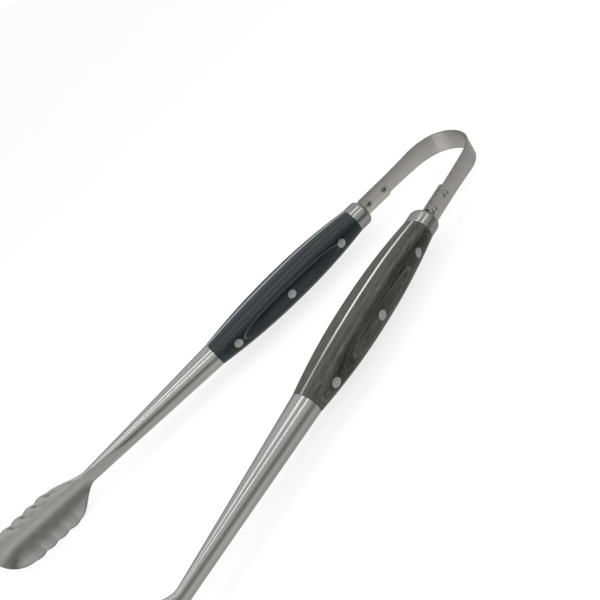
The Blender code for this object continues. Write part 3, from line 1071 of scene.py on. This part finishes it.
@dataclass
class ForgedArm:
    """One forging: round bar scooped flat inside, spoon jaw, full tang and strap."""

    arm: ArmFrame
    handle: HandleShape
    jaw: Jaw = Jaw()
    length: float = 0.112
    scoop_start: float = 0.076
    scoop_depth_share: float = 0.55
    end_thickness: float = 0.0029
    end_width: float = 0.0050
    shoulder_round: float = 0.00025
    shoulder_end: float = 0.001
    shoulder_points: int = 6
    bar_stations: int = 30
    scoop_stations: int = 36
    strap_width: float = 0.0126
    strap_end: float = 0.0994
    strap_corner: float = 0.0022
    corner_points: int = 8
    plate_round: float = 0.00016
    plate_round_points: int = 3
    flush_round_share: float = 0.15
    tang_start: float = 0.00002
    tang_stations: int = 80
    root: float = 0.0040
    rivet_places: Pair = (0.0816, 0.0960)
    rivet_hole: float = 0.00155
    drill_past: float = 0.002
    strap_swell: float = 0.00024
    swell_start: float = 0.0763
    swell_run: float = 0.0008
    rim_share: float = 0.4
    outer_points: int = 78
    flat_points: int = 26
    least_crease: float = 0.30

    def _ring(
        self, along: float, size: Pair, squareness: float, scoop: float,
        centre: float = 0.0, dish: float = 0.0,
    ) -> np.ndarray:
        """One closed section of the arm, with a point always on each crease of the scooped side.

        Args:
            along: its place.
            size: half thickness and half width.
            squareness: 2 for an ellipse, more for a flatter side.
            scoop: how deep its inner side is cut flat, as a share of the half thickness.
            centre: how far out its middle lies.
            dish: how far its middle bows outward.

        Returns:
            Points of (out, along, up), from one crease round the outer side and back across the flat.
        """
        reach = float(rise(np.float64(1.0 - scoop), squareness)) if scoop > 0 else 0.0
        crease = max(math.asin(min(reach, 1.0)), self.least_crease)
        outer = np.linspace(-(math.pi - crease), math.pi - crease, self.outer_points)
        flat = np.linspace(math.pi - crease, math.pi + crease, self.flat_points)[1:-1]
        depth, across = section_at(np.concatenate((outer, flat)), squareness)
        out = centre + size[0] * np.maximum(depth, scoop - 1.0) + dish * (1.0 - across * across)
        return ring_of(out, along, size[1] * across)

    def _bar_ring(self, ahead: float, inset: float = 0.0) -> np.ndarray:
        """A section of the bar, at a distance ahead of the shoulder.

        Args:
            ahead: that distance.
            inset: how far its surface is drawn in.

        Returns:
            Rows of (out, along, up).
        """
        share, handle = ahead / self.length, self.handle
        scoop = max(ahead - self.scoop_start, 0.0) / (self.length - self.scoop_start)
        thickness = mix(handle.front_thickness, self.end_thickness, share) - inset
        size = (thickness, mix(handle.front_width, self.end_width, share) - inset)
        depth = self.scoop_depth_share * scoop * scoop
        return self._ring(-handle.front - ahead, size, handle.squareness, depth)

    def _jaw_ring(self, ahead: float) -> np.ndarray:
        """A section of the jaw, at a distance ahead of its root.

        Args:
            ahead: that distance.

        Returns:
            Rows of (out, along, up).
        """
        jaw = self.jaw
        share = ease(ahead / jaw.neck)
        beyond = max(ahead - jaw.straight, 0.0) / jaw.tip_length
        rim = -jaw.rim_inward - (jaw.length / 2 - ahead) * jaw.lean
        size = (mix(self.end_thickness, jaw.half_thickness, share), jaw.width(ahead, self.end_width))
        squareness = mix(self.handle.squareness, jaw.squareness, share)
        scoop = self.scoop_depth_share * (1.0 - share)
        dish = jaw.depth * share * (1.0 - beyond * beyond)
        along = -self.handle.front - self.length - ahead
        return self._ring(along, size, squareness, scoop, rim * share, dish)

    def _front(self) -> Mesh:
        """The bar and the jaw.

        Returns:
            The mesh in the arm's own coordinates.
        """
        rings = [self._bar_ring(*edge) for edge in rounding(self.shoulder_round, self.shoulder_points)]
        bar = steps(self.shoulder_end, self.scoop_start, self.bar_stations)
        bar += steps(self.scoop_start, self.length, self.scoop_stations)
        rings += [self._bar_ring(ahead) for ahead in bar]
        return skin(rings + [self._jaw_ring(ahead) for ahead in self.jaw.places()])

    def _outline(self, out: float, inset: float) -> list[Triple]:
        """The tang and strap from the side, at a distance out from the axis.

        Args:
            out: that distance.
            inset: how far the strap's edges are drawn in there.

        Returns:
            Points of (out, along, up) all round.
        """
        handle, strap = self.handle, self.strap_width / 2 - inset
        root = handle.front_width - self.root / 2
        half = [(-handle.front - self.root, root), (-handle.front, root)]
        for along in steps(-handle.front + self.tang_start, handle.rear, self.tang_stations) + [handle.rear]:
            half.append((along, handle.flush_width(along, out) - inset * self.flush_round_share))
        swollen = self.swell_start + self.swell_run
        places = steps(handle.rear, self.swell_start, 2) + steps(self.swell_start, swollen, 3) + [swollen]
        half += [(along, strap) for along in places]
        for drop, run in rounding(self.strap_corner, self.corner_points):
            half.append((self.strap_end - inset - run, strap - drop))
        return [(out, along, up) for along, up in half] + [(out, along, -up) for along, up in reversed(half)]

    def _plate(self) -> Mesh:
        """The tang and strap, with its edges rounded and its rivet holes drilled.

        Returns:
            The mesh in the arm's own coordinates.
        """
        low, high = self.handle.tang_inner, self.handle.tang_outer
        layers = [(low + run, inset) for run, inset in rounding(self.plate_round, self.plate_round_points)]
        layers += [(low + high - out, inset) for out, inset in reversed(layers)]
        rings = np.array([self._outline(out, inset) for out, inset in layers])
        share = np.clip((rings[:, :, 1] - self.swell_start) / self.swell_run, 0.0, 1.0)
        rings[:, :, 0] += self.strap_swell * share * (rings[:, :, 0] > (low + high) / 2)
        reach = (low - self.drill_past, high + self.drill_past)
        return cut_away(skin(rings), [drill(along, self.rivet_hole, reach) for along in self.rivet_places])

    def build(self, finish: Material) -> Object:
        """Makes the whole forging.

        Args:
            finish: its steel.

        Returns:
            The piece that stands for the arm.
        """
        label = self.arm.side.label
        piece = settle(smooth(joined(self._front(), self._plate())), label + "_forged_arm", finish, self.arm)
        reach = self.strap_width * self.rim_share
        stamp_rims(piece.data, self.swell_start, reach, self.strap_end - self.strap_corner)
        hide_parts(label + "_arm")
        return piece


@dataclass
class WoodScales:
    """The two wood scales of one handle, on the inner and the outer side of the tang."""

    arm: ArmFrame
    handle: HandleShape
    edge: float = 0.00012
    edge_share: float = 0.3
    stations: int = 110
    points: int = 84

    def _mesh(self, outer: bool) -> Mesh:
        """One scale in the arm's own coordinates.

        Args:
            outer: True for the scale on the outer side.

        Returns:
            The mesh.
        """
        handle, part = self.handle, self.edge * self.edge_share
        cut = handle.tang_outer + SEAT if outer else handle.tang_inner - SEAT
        start, end = -handle.front + SEAT, handle.rear - SEAT
        places = [(start, self.edge), (start + part, part), (start + self.edge, 0.0)]
        places += [(along, 0.0) for along in steps(start, end, self.stations)[1:]]
        places += [(end - self.edge, 0.0), (end - part, part), (end, self.edge)]
        return skin([handle.shell_ring(along, cut, outer, inset, self.points) for along, inset in places])

    def build(self, finish: Material) -> tuple[list[Object], Mesh]:
        """Makes both scales.

        Args:
            finish: their laminate.

        Returns:
            The two pieces, and one mesh of both in the arm's own coordinates.
        """
        meshes = {"inner": self._mesh(False), "outer": self._mesh(True)}
        surface, pieces = joined(*meshes.values()), []
        for word, mesh in meshes.items():
            label = f"{self.arm.side.label}_{word}_scale"
            piece = settle(mesh, label + "_polished", finish, self.arm)
            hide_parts(label)
            pieces.append(piece)
        return pieces, surface


@dataclass
class RearBolster:
    """The domed steel cap behind the wood, slotted for the strap."""

    arm: ArmFrame
    handle: HandleShape
    length: float = 0.0115
    end_round: float = 0.0042
    front_round: float = 0.0002
    slot_half_width: float = 0.00655
    slot_clearance: float = 0.00022
    slot_past: float = 0.002
    points: int = 128
    front_stations: int = 3
    stations: int = 8
    end_stations: int = 24

    def _ring(self, along: float, shrink: float) -> np.ndarray:
        """A section at a place, drawn in by an amount."""
        turn = np.linspace(0.0, math.tau, self.points, endpoint=False)
        depth, across = section_at(turn, self.handle.squareness)
        out, up = (self.handle.rear_thickness - shrink) * depth, (self.handle.rear_width - shrink) * across
        return ring_of(out, along, up)

    def _slot(self, start: float) -> Mesh:
        """The block that cuts the slot, for a bolster that starts at a place along."""
        low, high = self.handle.tang_inner - self.slot_clearance, self.handle.tang_outer + self.slot_clearance
        ends, up = (start - self.slot_past, start + self.length + self.slot_past), self.slot_half_width
        return skin([[(low, end, -up), (high, end, -up), (high, end, up), (low, end, up)] for end in ends])

    def build(self, finish: Material) -> Object:
        """Makes the cap with its slot.

        Args:
            finish: its steel.

        Returns:
            The piece that stands for the bolster.
        """
        start = self.handle.rear + SEAT
        straight = start + self.length - self.end_round
        places = [(start + run, shrink) for run, shrink in rounding(self.front_round, self.front_stations)]
        flat = steps(start + self.front_round, straight, self.stations)[1:] + [straight]
        places += [(along, 0.0) for along in flat]
        ends = rounding(self.end_round, self.end_stations)[1:]
        places += [(straight + self.end_round - left, shrink) for shrink, left in ends]
        mesh = cut_away(skin([self._ring(*place) for place in places]), [self._slot(start)])
        label = self.arm.side.label + "_rear_bolster"
        piece = settle(mesh, label + "_cap", finish, self.arm)
        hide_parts(label)
        return piece


class GeometryTree(NodeGroup):
    """A Geometry Nodes tree whose named inputs are its own sizes, worked into a plain mesh."""

    tree_kind = "GeometryNodeTree"

    def shape(self, sketch: Sketch, port: SimpleNamespace) -> Flow:
        """Joins the nodes of the shape itself; each tree has its own."""
        raise NotImplementedError

    def row(self, sketch: Sketch, port: SimpleNamespace, start: Flow, item: Flow) -> Flow:
        """Sets an item, turned across the arm, on each point of a line along it.

        Args:
            sketch: the tree's sketch.
            port: the tree's inputs, with the count and spacing.
            start: place of the first point.
            item: what is set there.

        Returns:
            The row.
        """
        place, step = sketch.join(y=start), sketch.join(y=port.spacing)
        feeds = {"Count": port.count, "Start Location": place, "Offset": step}
        line = sketch.flow("GeometryNodeMeshLine", feeds, mode="OFFSET")
        feeds = {"Points": line, "Instance": item, "Rotation": (0.0, math.pi / 2, 0.0)}
        return sketch.flow("GeometryNodeInstanceOnPoints", feeds)

    def wire(self, sketch: Sketch, port: SimpleNamespace) -> dict[str, Flow]:
        """Makes the shape real and gives it its material."""
        real = sketch.flow("GeometryNodeRealizeInstances", {0: self.shape(sketch, port)})
        feeds = {"Geometry": real, "Material": port.material}
        return {"geometry": sketch.flow("GeometryNodeSetMaterial", feeds)}

    def work(self, data: ID, **others: object) -> Mesh:
        """Runs the tree.

        Args:
            data: mesh or curve that it starts from.
            **others: its named inputs apart from its own sizes.

        Returns:
            The plain mesh, with its faces outward.
        """
        values = {**vars(self), **others}
        source = new_object(self.title, data)
        modifier = source.modifiers.new(self.title, "NODES")
        modifier.node_group = self.tree({"geometry": data, **values})
        for item in modifier.node_group.interface.items_tree:
            if item.name in values:
                modifier[item.identifier] = values[item.name]
        return tidy_faces(baked_mesh(source))


@dataclass
class PinRow(GeometryTree):
    """A row of round pins whose ends are ground to the face that they come out of."""

    title = "pin_row"
    facets = {"Vertices": 72, "Side Segments": 4, "Fill Segments": 10}
    rim_from = 0.995
    end_from = 0.98
    count: int = 3
    spacing: float = 0.047
    radius: float = 0.0030
    reach: float = 0.0160
    proud: float = 0.00003
    chamfer: float = 0.00016

    def shape(self, sketch: Sketch, port: SimpleNamespace) -> Flow:
        """Sets a cylinder on each point of a line, then lays its ends on the face by rays from outside.

        Args:
            sketch: the tree's sketch.
            port: the tree's inputs by name.

        Returns:
            The row of pins.
        """
        sizes = {"Radius": port.radius, "Depth": port.reach * 2.0}
        rod = sketch.flow("GeometryNodeMeshCylinder", self.facets | sizes, fill_type="TRIANGLE_FAN")
        # Rings of the ends crowd towards the rim, where the chamfer is
        place = sketch.flow("GeometryNodeInputPosition")
        x, y, z = place.parts()
        flat = place.vector("MULTIPLY", (1.0, 1.0, 0.0))
        share = flat.vector("LENGTH") / port.radius
        rod = sketch.put(rod, flat.vector("SCALE", 2.0 - share).vector("ADD", sketch.join(z=z)))
        feeds = {"Geometry": rod, "Name": RIM, "Value": share}
        rod = sketch.flow("GeometryNodeStoreNamedAttribute", feeds, data_type="FLOAT", domain="POINT")
        row = self.row(sketch, port, (port.count - 1.0) * port.spacing * -0.5, rod)
        real = sketch.flow("GeometryNodeRealizeInstances", {0: row})
        sign = x.maths("SIGN")
        ray = {
            "Target Geometry": sketch.flow("GeometryNodeObjectInfo", {0: port.face}, "Geometry"),
            "Source Position": place,
            "Ray Direction": sketch.join(sign * -1.0),
            "Ray Length": port.reach,
        }
        hit = sketch.flow("GeometryNodeRaycast", ray, "Hit Position").parts()[0]
        rim = sketch.flow("GeometryNodeInputNamedAttribute", {"Name": RIM}, data_type="FLOAT")
        drop = rim.maths("GREATER_THAN", self.rim_from) * port.chamfer
        ground = sketch.join(hit + (port.proud - drop) * sign, y, z)
        return sketch.put(real, ground, x.maths("ABSOLUTE").maths("GREATER_THAN", port.reach * self.end_from))


@dataclass
class HandlePins:
    """The three pins of one handle."""

    arm: ArmFrame
    row: PinRow
    sharp_degrees: float = 25.0

    def build(self, surface: Mesh, finish: Material) -> Object:
        """Makes the pins, ground to the handle's own faces.

        Args:
            surface: the handle's faces in the arm's own coordinates.
            finish: their steel.

        Returns:
            The piece that stands for the three pins.
        """
        face = new_object("handle_face", surface)
        mesh = self.row.work(bpy.data.meshes.new("pin_seed"), face=face, material=finish)
        bpy.data.objects.remove(face, do_unlink=True)
        label = self.arm.side.label + "_handle_pin"
        piece = settle(smooth(mesh, self.sharp_degrees), label + "s_ground", finish, self.arm)
        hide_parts(*(f"{label}_{number}" for number in range(1, self.row.count + 1)))
        return piece


@dataclass
class RivetRow(GeometryTree):
    """A row of rivets: a domed head on the outer side, a shank, and a rolled hollow end inside."""

    title = "rivet_row"
    ball = {"Segments": 56, "Rings": 36, "Radius": 1.0}
    shank_facets = 40
    roll_facets = (56, 24)
    roll_scale = (1.0, 1.0, 0.8)
    count: int = 2
    start: float = 0.0816
    spacing: float = 0.0144
    head_radius: float = 0.0025
    head_height: float = 0.0013
    shank_radius: float = 0.0014
    roll_radius: float = 0.00172
    roll_thickness: float = 0.00056
    outer_seat: float = 0.00376
    inner_seat: float = 0.00074
    hollow_depth: float = 0.0014

    def _lifted(self, shape: Flow, lift: Flow, scale: object) -> Flow:
        """A shape scaled, then lifted along its axis."""
        feeds = {"Geometry": shape, "Translation": shape.sketch.join(z=lift), "Scale": scale}
        return shape.sketch.flow("GeometryNodeTransform", feeds)

    def _head(self, sketch: Sketch, port: SimpleNamespace) -> Flow:
        """The domed head: half a ball, flattened, on a flat seat.

        Args:
            sketch: the tree's sketch.
            port: the tree's inputs by name.

        Returns:
            The head in its place.
        """
        ball = sketch.flow("GeometryNodeMeshUVSphere", self.ball)
        x, y, z = sketch.flow("GeometryNodeInputPosition").parts()
        size = sketch.join(port.head_radius, port.head_radius, port.head_height)
        dome = sketch.put(ball, sketch.join(x, y, z.maths("MAXIMUM", 0.0)))
        return self._lifted(dome, port.outer_seat, size)

    def _roll(self, sketch: Sketch, port: SimpleNamespace) -> Flow:
        """The rolled end: a ring swept round a circle.

        Args:
            sketch: the tree's sketch.
            port: the tree's inputs by name.

        Returns:
            The rolled end in its place.
        """
        kind, radii = "GeometryNodeCurvePrimitiveCircle", (port.roll_radius, port.roll_thickness)
        path, section = (
            sketch.flow(kind, {"Resolution": count, "Radius": radius}, mode="RADIUS")
            for count, radius in zip(self.roll_facets, radii)
        )
        sweep = sketch.flow("GeometryNodeCurveToMesh", {"Curve": path, "Profile Curve": section})
        return self._lifted(sweep, port.inner_seat - port.roll_thickness * 0.5, self.roll_scale)

    def shape(self, sketch: Sketch, port: SimpleNamespace) -> Flow:
        """Builds one rivet on the Z axis, and sets it on each point of a line.

        Args:
            sketch: the tree's sketch.
            port: the tree's inputs by name.

        Returns:
            The row of rivets.
        """
        floor = port.inner_seat + port.hollow_depth
        feeds = {"Vertices": self.shank_facets, "Radius": port.shank_radius, "Depth": port.outer_seat - floor}
        rod = sketch.flow("GeometryNodeMeshCylinder", feeds, fill_type="NGON")
        shank = self._lifted(rod, (port.outer_seat + floor) * 0.5, (1.0, 1.0, 1.0))
        join = sketch.node("GeometryNodeJoinGeometry")
        for part in (self._head(sketch, port), shank, self._roll(sketch, port)):
            sketch.feed(join.inputs[0], part)
        return self.row(sketch, port, port.start, Flow(sketch, join.outputs[0]))


@dataclass
class BowRivets:
    """The two rivets that hold the bow's strip on one strap."""

    arm: ArmFrame
    row: RivetRow
    sharp_degrees: float = 40.0

    def build(self, finish: Material) -> Object:
        """Makes both rivets.

        Args:
            finish: their steel.

        Returns:
            The piece that stands for the two rivets.
        """
        mesh = self.row.work(bpy.data.meshes.new("rivet_seed"), material=finish)
        label = self.arm.side.label + "_bow_rivet"
        piece = settle(smooth(mesh, self.sharp_degrees), label + "s_set", finish, self.arm)
        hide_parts(label + "_1", label + "_2")
        return piece


@dataclass
class Strip(GeometryTree):
    """A flat strip on edge along a curve, that grows wider towards its far end."""

    title = "strip_along_curve"
    edge_facets = 4
    thickness: float = 0.0012
    width: float = 0.0122
    far_width: float = 0.0148
    edge_round: float = 0.00028

    def shape(self, sketch: Sketch, port: SimpleNamespace) -> Flow:
        """Sweeps a rounded section along the curve, then widens it by its place.

        Args:
            sketch: the tree's sketch.
            port: the tree's inputs by name.

        Returns:
            The strip.
        """
        upright = sketch.flow("GeometryNodeSetCurveNormal", {"Curve": port.geometry}, mode="Z_UP")
        feeds = {"Width": port.thickness, "Height": port.width}
        section = sketch.flow("GeometryNodeCurvePrimitiveQuadrilateral", feeds, mode="RECTANGLE")
        feeds = {"Curve": section, "Count": self.edge_facets, "Radius": port.edge_round}
        soft = sketch.flow("GeometryNodeFilletCurve", feeds, mode="POLY")
        feeds = {"Curve": upright, "Profile Curve": soft, "Fill Caps": True}
        sweep = sketch.flow("GeometryNodeCurveToMesh", feeds)
        x, y, z = sketch.flow("GeometryNodeInputPosition").parts()
        grow = y.eased((port.grow_from, port.grow_to), (1.0, port.far_width / port.width))
        return sketch.put(sweep, sketch.join(x, y, z * grow))


@dataclass
class SpringBow:
    """The bent strip that joins both arms, made as two halves that meet at the crown."""

    right: ArmFrame
    strip: Strip
    strip_middle: float = 0.00315
    strip_start: float = 0.0768
    strap_end: float = 0.0994
    bend_start: float = 0.1251
    rivet_places: Pair = (0.0816, 0.0960)
    rivet_hole: float = 0.00155
    drill_reach: float = 0.006
    leg_points: int = 24
    crown_points: int = 120
    crease_at: float = math.radians(53)
    crease_turn: float = math.radians(7)
    crease_run: float = math.radians(1.2)
    rim_share: float = 0.4
    sharp_degrees: float = 32.0

    def _headings(self) -> np.ndarray:
        """Directions of the crown's short straights: an even bend with a slight crease part way.

        Returns:
            Their angles, from the leg to the middle of the crown.
        """
        evenly = (np.arange(self.crown_points) + 0.5) / self.crown_points
        heading = self.right.half_angle + (math.pi / 2 - self.right.half_angle - self.crease_turn) * evenly
        past = np.clip((heading - self.crease_at + self.crease_turn / 2) / self.crease_run, 0.0, 1.0)
        return heading + self.crease_turn * past

    def _path(self) -> list[Vector]:
        """The strip's middle line on the right, from its end on the strap to the middle of the crown.

        Returns:
            Its points, with the height of the strip's middle as zero.
        """
        low = Vector((0.0, 0.0, self.right.height))
        leg = steps(self.strip_start, self.bend_start, self.leg_points) + [self.bend_start]
        points = [self.right.place(self.strip_middle, along) - low for along in leg]
        heading = self._headings()
        step = points[-1].x / float(np.sin(heading).sum())
        for turn in heading:
            points.append(points[-1] + Vector((-math.sin(turn), math.cos(turn), 0.0)) * step)
        return points

    def _half(self, side: Side, finish: Material) -> Mesh:
        """One half of the strip, in the frame of the tongs.

        Args:
            side: which half.
            finish: its steel.

        Returns:
            The mesh with its rivet holes and marks.
        """
        path = self._path()
        curve = bpy.data.curves.new("bow_path", "CURVE")
        curve.dimensions = "3D"
        line = curve.splines.new("POLY")
        line.points.add(len(path) - 1)
        for point, at in zip(line.points, path):
            point.co = (*at, 1.0)
        grow_from = self.right.place(self.strip_middle, self.strap_end).y
        mesh = self.strip.work(curve, grow_from=grow_from, grow_to=path[-1].y, material=finish)
        level = self.right.matrix()
        level.translation.z = 0.0
        holes = [drill(along, self.rivet_hole, (0.0, self.drill_reach)) for along in self.rivet_places]
        for hole in holes:
            hole.transform(level)
        mesh = smooth(cut_away(mesh, holes), self.sharp_degrees)
        stamp_edges(mesh)
        self._stamp_run(mesh, path)
        stamp_rims(mesh, 0.0, self.strip.width * self.rim_share)
        mesh.transform(Matrix.Translation((0.0, 0.0, self.right.height)))
        if side is Side.LEFT:
            mesh.transform(Matrix.Diagonal((-1.0, 1.0, 1.0, 1.0)))
            mesh.flip_normals()
        return mesh

    def _stamp_run(self, mesh: Mesh, path: list[Vector]) -> None:
        """Keeps each point's run along the strip, so that the rolling marks follow the bend.

        Args:
            mesh: the mesh to mark.
            path: the strip's middle line.
        """
        line, values = np.array([(p.x, p.y) for p in path]), points_of(mesh)
        run = np.concatenate(((0.0,), np.cumsum(np.linalg.norm(np.diff(line, axis=0), axis=1))))
        nearest = np.array([np.argmin(((line - at[:2]) ** 2).sum(axis=1)) for at in values])
        side = np.linalg.norm(values[:, :2] - line[nearest], axis=1)
        stamp(mesh, PLACE, np.stack((side, run[nearest], values[:, 2]), axis=1))

    def build(self, finish: Material) -> list[Object]:
        """Makes both halves, each bending from the crown to its strap.

        Args:
            finish: their steel.

        Returns:
            The two pieces that stand for the bow.
        """
        pieces = []
        leg = self.right.place(self.strip_middle, self.strap_end)
        start = (0.0, self._path()[-1].y, self.right.height)
        for side in Side:
            piece = new_piece("spring_bow_" + side.label, self._half(side, finish), finish)
            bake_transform(piece)
            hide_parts("spring_bow")
            pieces.append(piece)
        return pieces


@dataclass(frozen=True)
class Softbox:
    """A flat soft lamp over the tongs, with its length along them, that faces their middle."""

    name: str
    place: Triple
    width: float
    length: float
    radiance: float

    def build(self) -> Object:
        """Makes the lamp, turned about its length.

        Returns:
            The lamp.
        """
        lamp = bpy.data.lights.new(self.name, "AREA")
        lamp.shape, lamp.size, lamp.size_y = "RECTANGLE", self.width, self.length
        lamp.energy = self.radiance * math.pi * self.width * self.length
        made = new_object(self.name, lamp)
        made.location = self.place
        made.rotation_euler = (0.0, math.atan2(self.place[0], self.place[2]), 0.0)
        return made


@dataclass
class Studio:
    """Floor, surroundings and lamps."""

    floor_size: float = 24.0
    floor_below: float = 0.0002
    floor_colour: Triple = (0.86, 0.86, 0.86)
    floor_roughness: float = 0.9
    floor_glow: float = 1.05
    glow_share: float = 0.72
    lamps: tuple[Softbox, ...] = (
        Softbox("strip_overhead", (-0.08, -0.02, 0.50), 0.12, 1.0, 2.1),
        Softbox("strip_camera_side", (0.80, 0.0, 1.5), 0.17, 3.6, 3.9),
    )

    def _floor(self) -> None:
        """A pale plane that reads near white and keeps the tongs' shadow; steel mirrors the room past it."""
        mesh, half = bpy.data.meshes.new("floor"), self.floor_size / 2
        corners = [(x * half, y * half, -self.floor_below) for x, y in ((-1, -1), (1, -1), (1, 1), (-1, 1))]
        mesh.from_pydata(corners, [], [(0, 1, 2, 3)])
        material, sketch, shader = fresh_material("pale_floor")
        feeds = {
            "Base Color": self.floor_colour,
            "Roughness": self.floor_roughness,
            "Specular IOR Level": 0.0,
        }
        lit = Flow(sketch, sketch.fill(shader, feeds).outputs[0])
        ray = sketch.node("ShaderNodeLightPath").outputs
        seen = Flow(sketch, ray["Is Camera Ray"]).maths("MAXIMUM", Flow(sketch, ray["Is Transmission Ray"]))
        light = sketch.flow("ShaderNodeEmission", {"Strength": self.floor_glow})
        lit = sketch.flow("ShaderNodeMixShader", {0: seen * self.glow_share, 1: lit, 2: light})
        clear = sketch.flow("ShaderNodeBsdfTransparent")
        shown = sketch.flow("ShaderNodeMixShader", {0: Flow(sketch, ray["Is Glossy Ray"]), 1: lit, 2: clear})
        sketch.fill(material.node_tree.nodes["Material Output"], {"Surface": shown})
        mesh.materials.append(material)
        new_object("floor", mesh)

    def _surroundings(self) -> None:
        """The room round the table; the camera itself sees it white."""
        world = bpy.data.worlds.new("room")
        world.use_nodes = True
        bpy.context.scene.world = world
        sketch = Sketch(world.node_tree)
        direction = sketch.flow("ShaderNodeTexCoord", None, "Generated")
        room = RoomLight().use(sketch, direction=direction)
        seen = sketch.flow("ShaderNodeLightPath", None, "Is Camera Ray")
        white = (self.floor_glow, self.floor_glow, self.floor_glow)
        sketch.fill(world.node_tree.nodes["Background"], {"Color": seen.blend(room.light, white)})

    def build(self) -> None:
        """Sets up everything round the tongs."""
        self._floor()
        self._surroundings()
        for lamp in self.lamps:
            lamp.build()


@dataclass(frozen=True)
class PhotoCamera:
    """The camera at the photograph's own angle."""

    place: Triple = (0.341253, -0.072193, 0.252702)
    right: Triple = (0.521791, 0.636828, -0.567613)
    up: Triple = (-0.198331, 0.737702, 0.645337)
    back: Triple = (0.829698, -0.224156, 0.511230)
    lens: float = 42.0987
    sensor: float = 36.0
    shift: Pair = (0.06, 0.02)
    clip: Pair = (0.01, 100.0)

    def build(self) -> Object:
        """Makes the camera and gives it to the scene.

        Returns:
            The camera.
        """
        data = bpy.data.cameras.new("photo_camera")
        data.lens, data.sensor_width = self.lens, self.sensor
        data.shift_x, data.shift_y = self.shift
        data.clip_start, data.clip_end = self.clip
        made = new_object("photo_camera", data)
        columns = Matrix((self.right, self.up, self.back)).transposed()
        made.matrix_world = Matrix.Translation(self.place) @ columns.to_4x4()
        bpy.context.scene.camera = made
        return made


@dataclass
class Handle:
    """One whole arm with everything that is fixed to it."""

    arm: ArmFrame
    shape: HandleShape = HandleShape()

    def build(self, steels: dict[str, Material], wood: Material) -> list[Object]:
        """Makes the arm's pieces in order.

        Args:
            steels: the steels by name.
            wood: the laminate of this handle.

        Returns:
            All its pieces.
        """
        forging = ForgedArm(self.arm, self.shape).build(steels["arm"])
        scales, surface = WoodScales(self.arm, self.shape).build(wood)
        bolster = RearBolster(self.arm, self.shape).build(steels["bolster"])
        pins = HandlePins(self.arm, PinRow()).build(surface, steels["pin"])
        return [forging, *scales, bolster, pins, BowRivets(self.arm, RivetRow()).build(steels["rivet"])]


def report(pieces: list[Object]) -> None:
    """Logs each piece with its number of faces."""
    for piece in pieces:
        LOG.info("%s: %d faces, %s", piece.name, len(piece.data.polygons), piece.active_material.name)


def main() -> None:
    """Builds the tongs on the frame, then the studio and the camera."""
    logging.basicConfig(level=logging.INFO, format="%(message)s")
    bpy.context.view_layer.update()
    bpy.context.scene.view_settings.view_transform = "Standard"
    PhotoCamera().build()
    finishes = Finishes()
    steels = {word: getattr(finishes, word).build() for word in ("bolster", "pin", "rivet", "bow")}
    for side in Side:
        steels["arm"] = finishes.arm(side).build()
        report(Handle(ArmFrame(side)).build(steels, finishes.wood(side).build()))
    report(SpringBow(ArmFrame(Side.RIGHT), Strip()).build(steels["bow"]))
    Studio().build()
    bpy.context.view_layer.update()


if __name__ == "__main__":
    main()
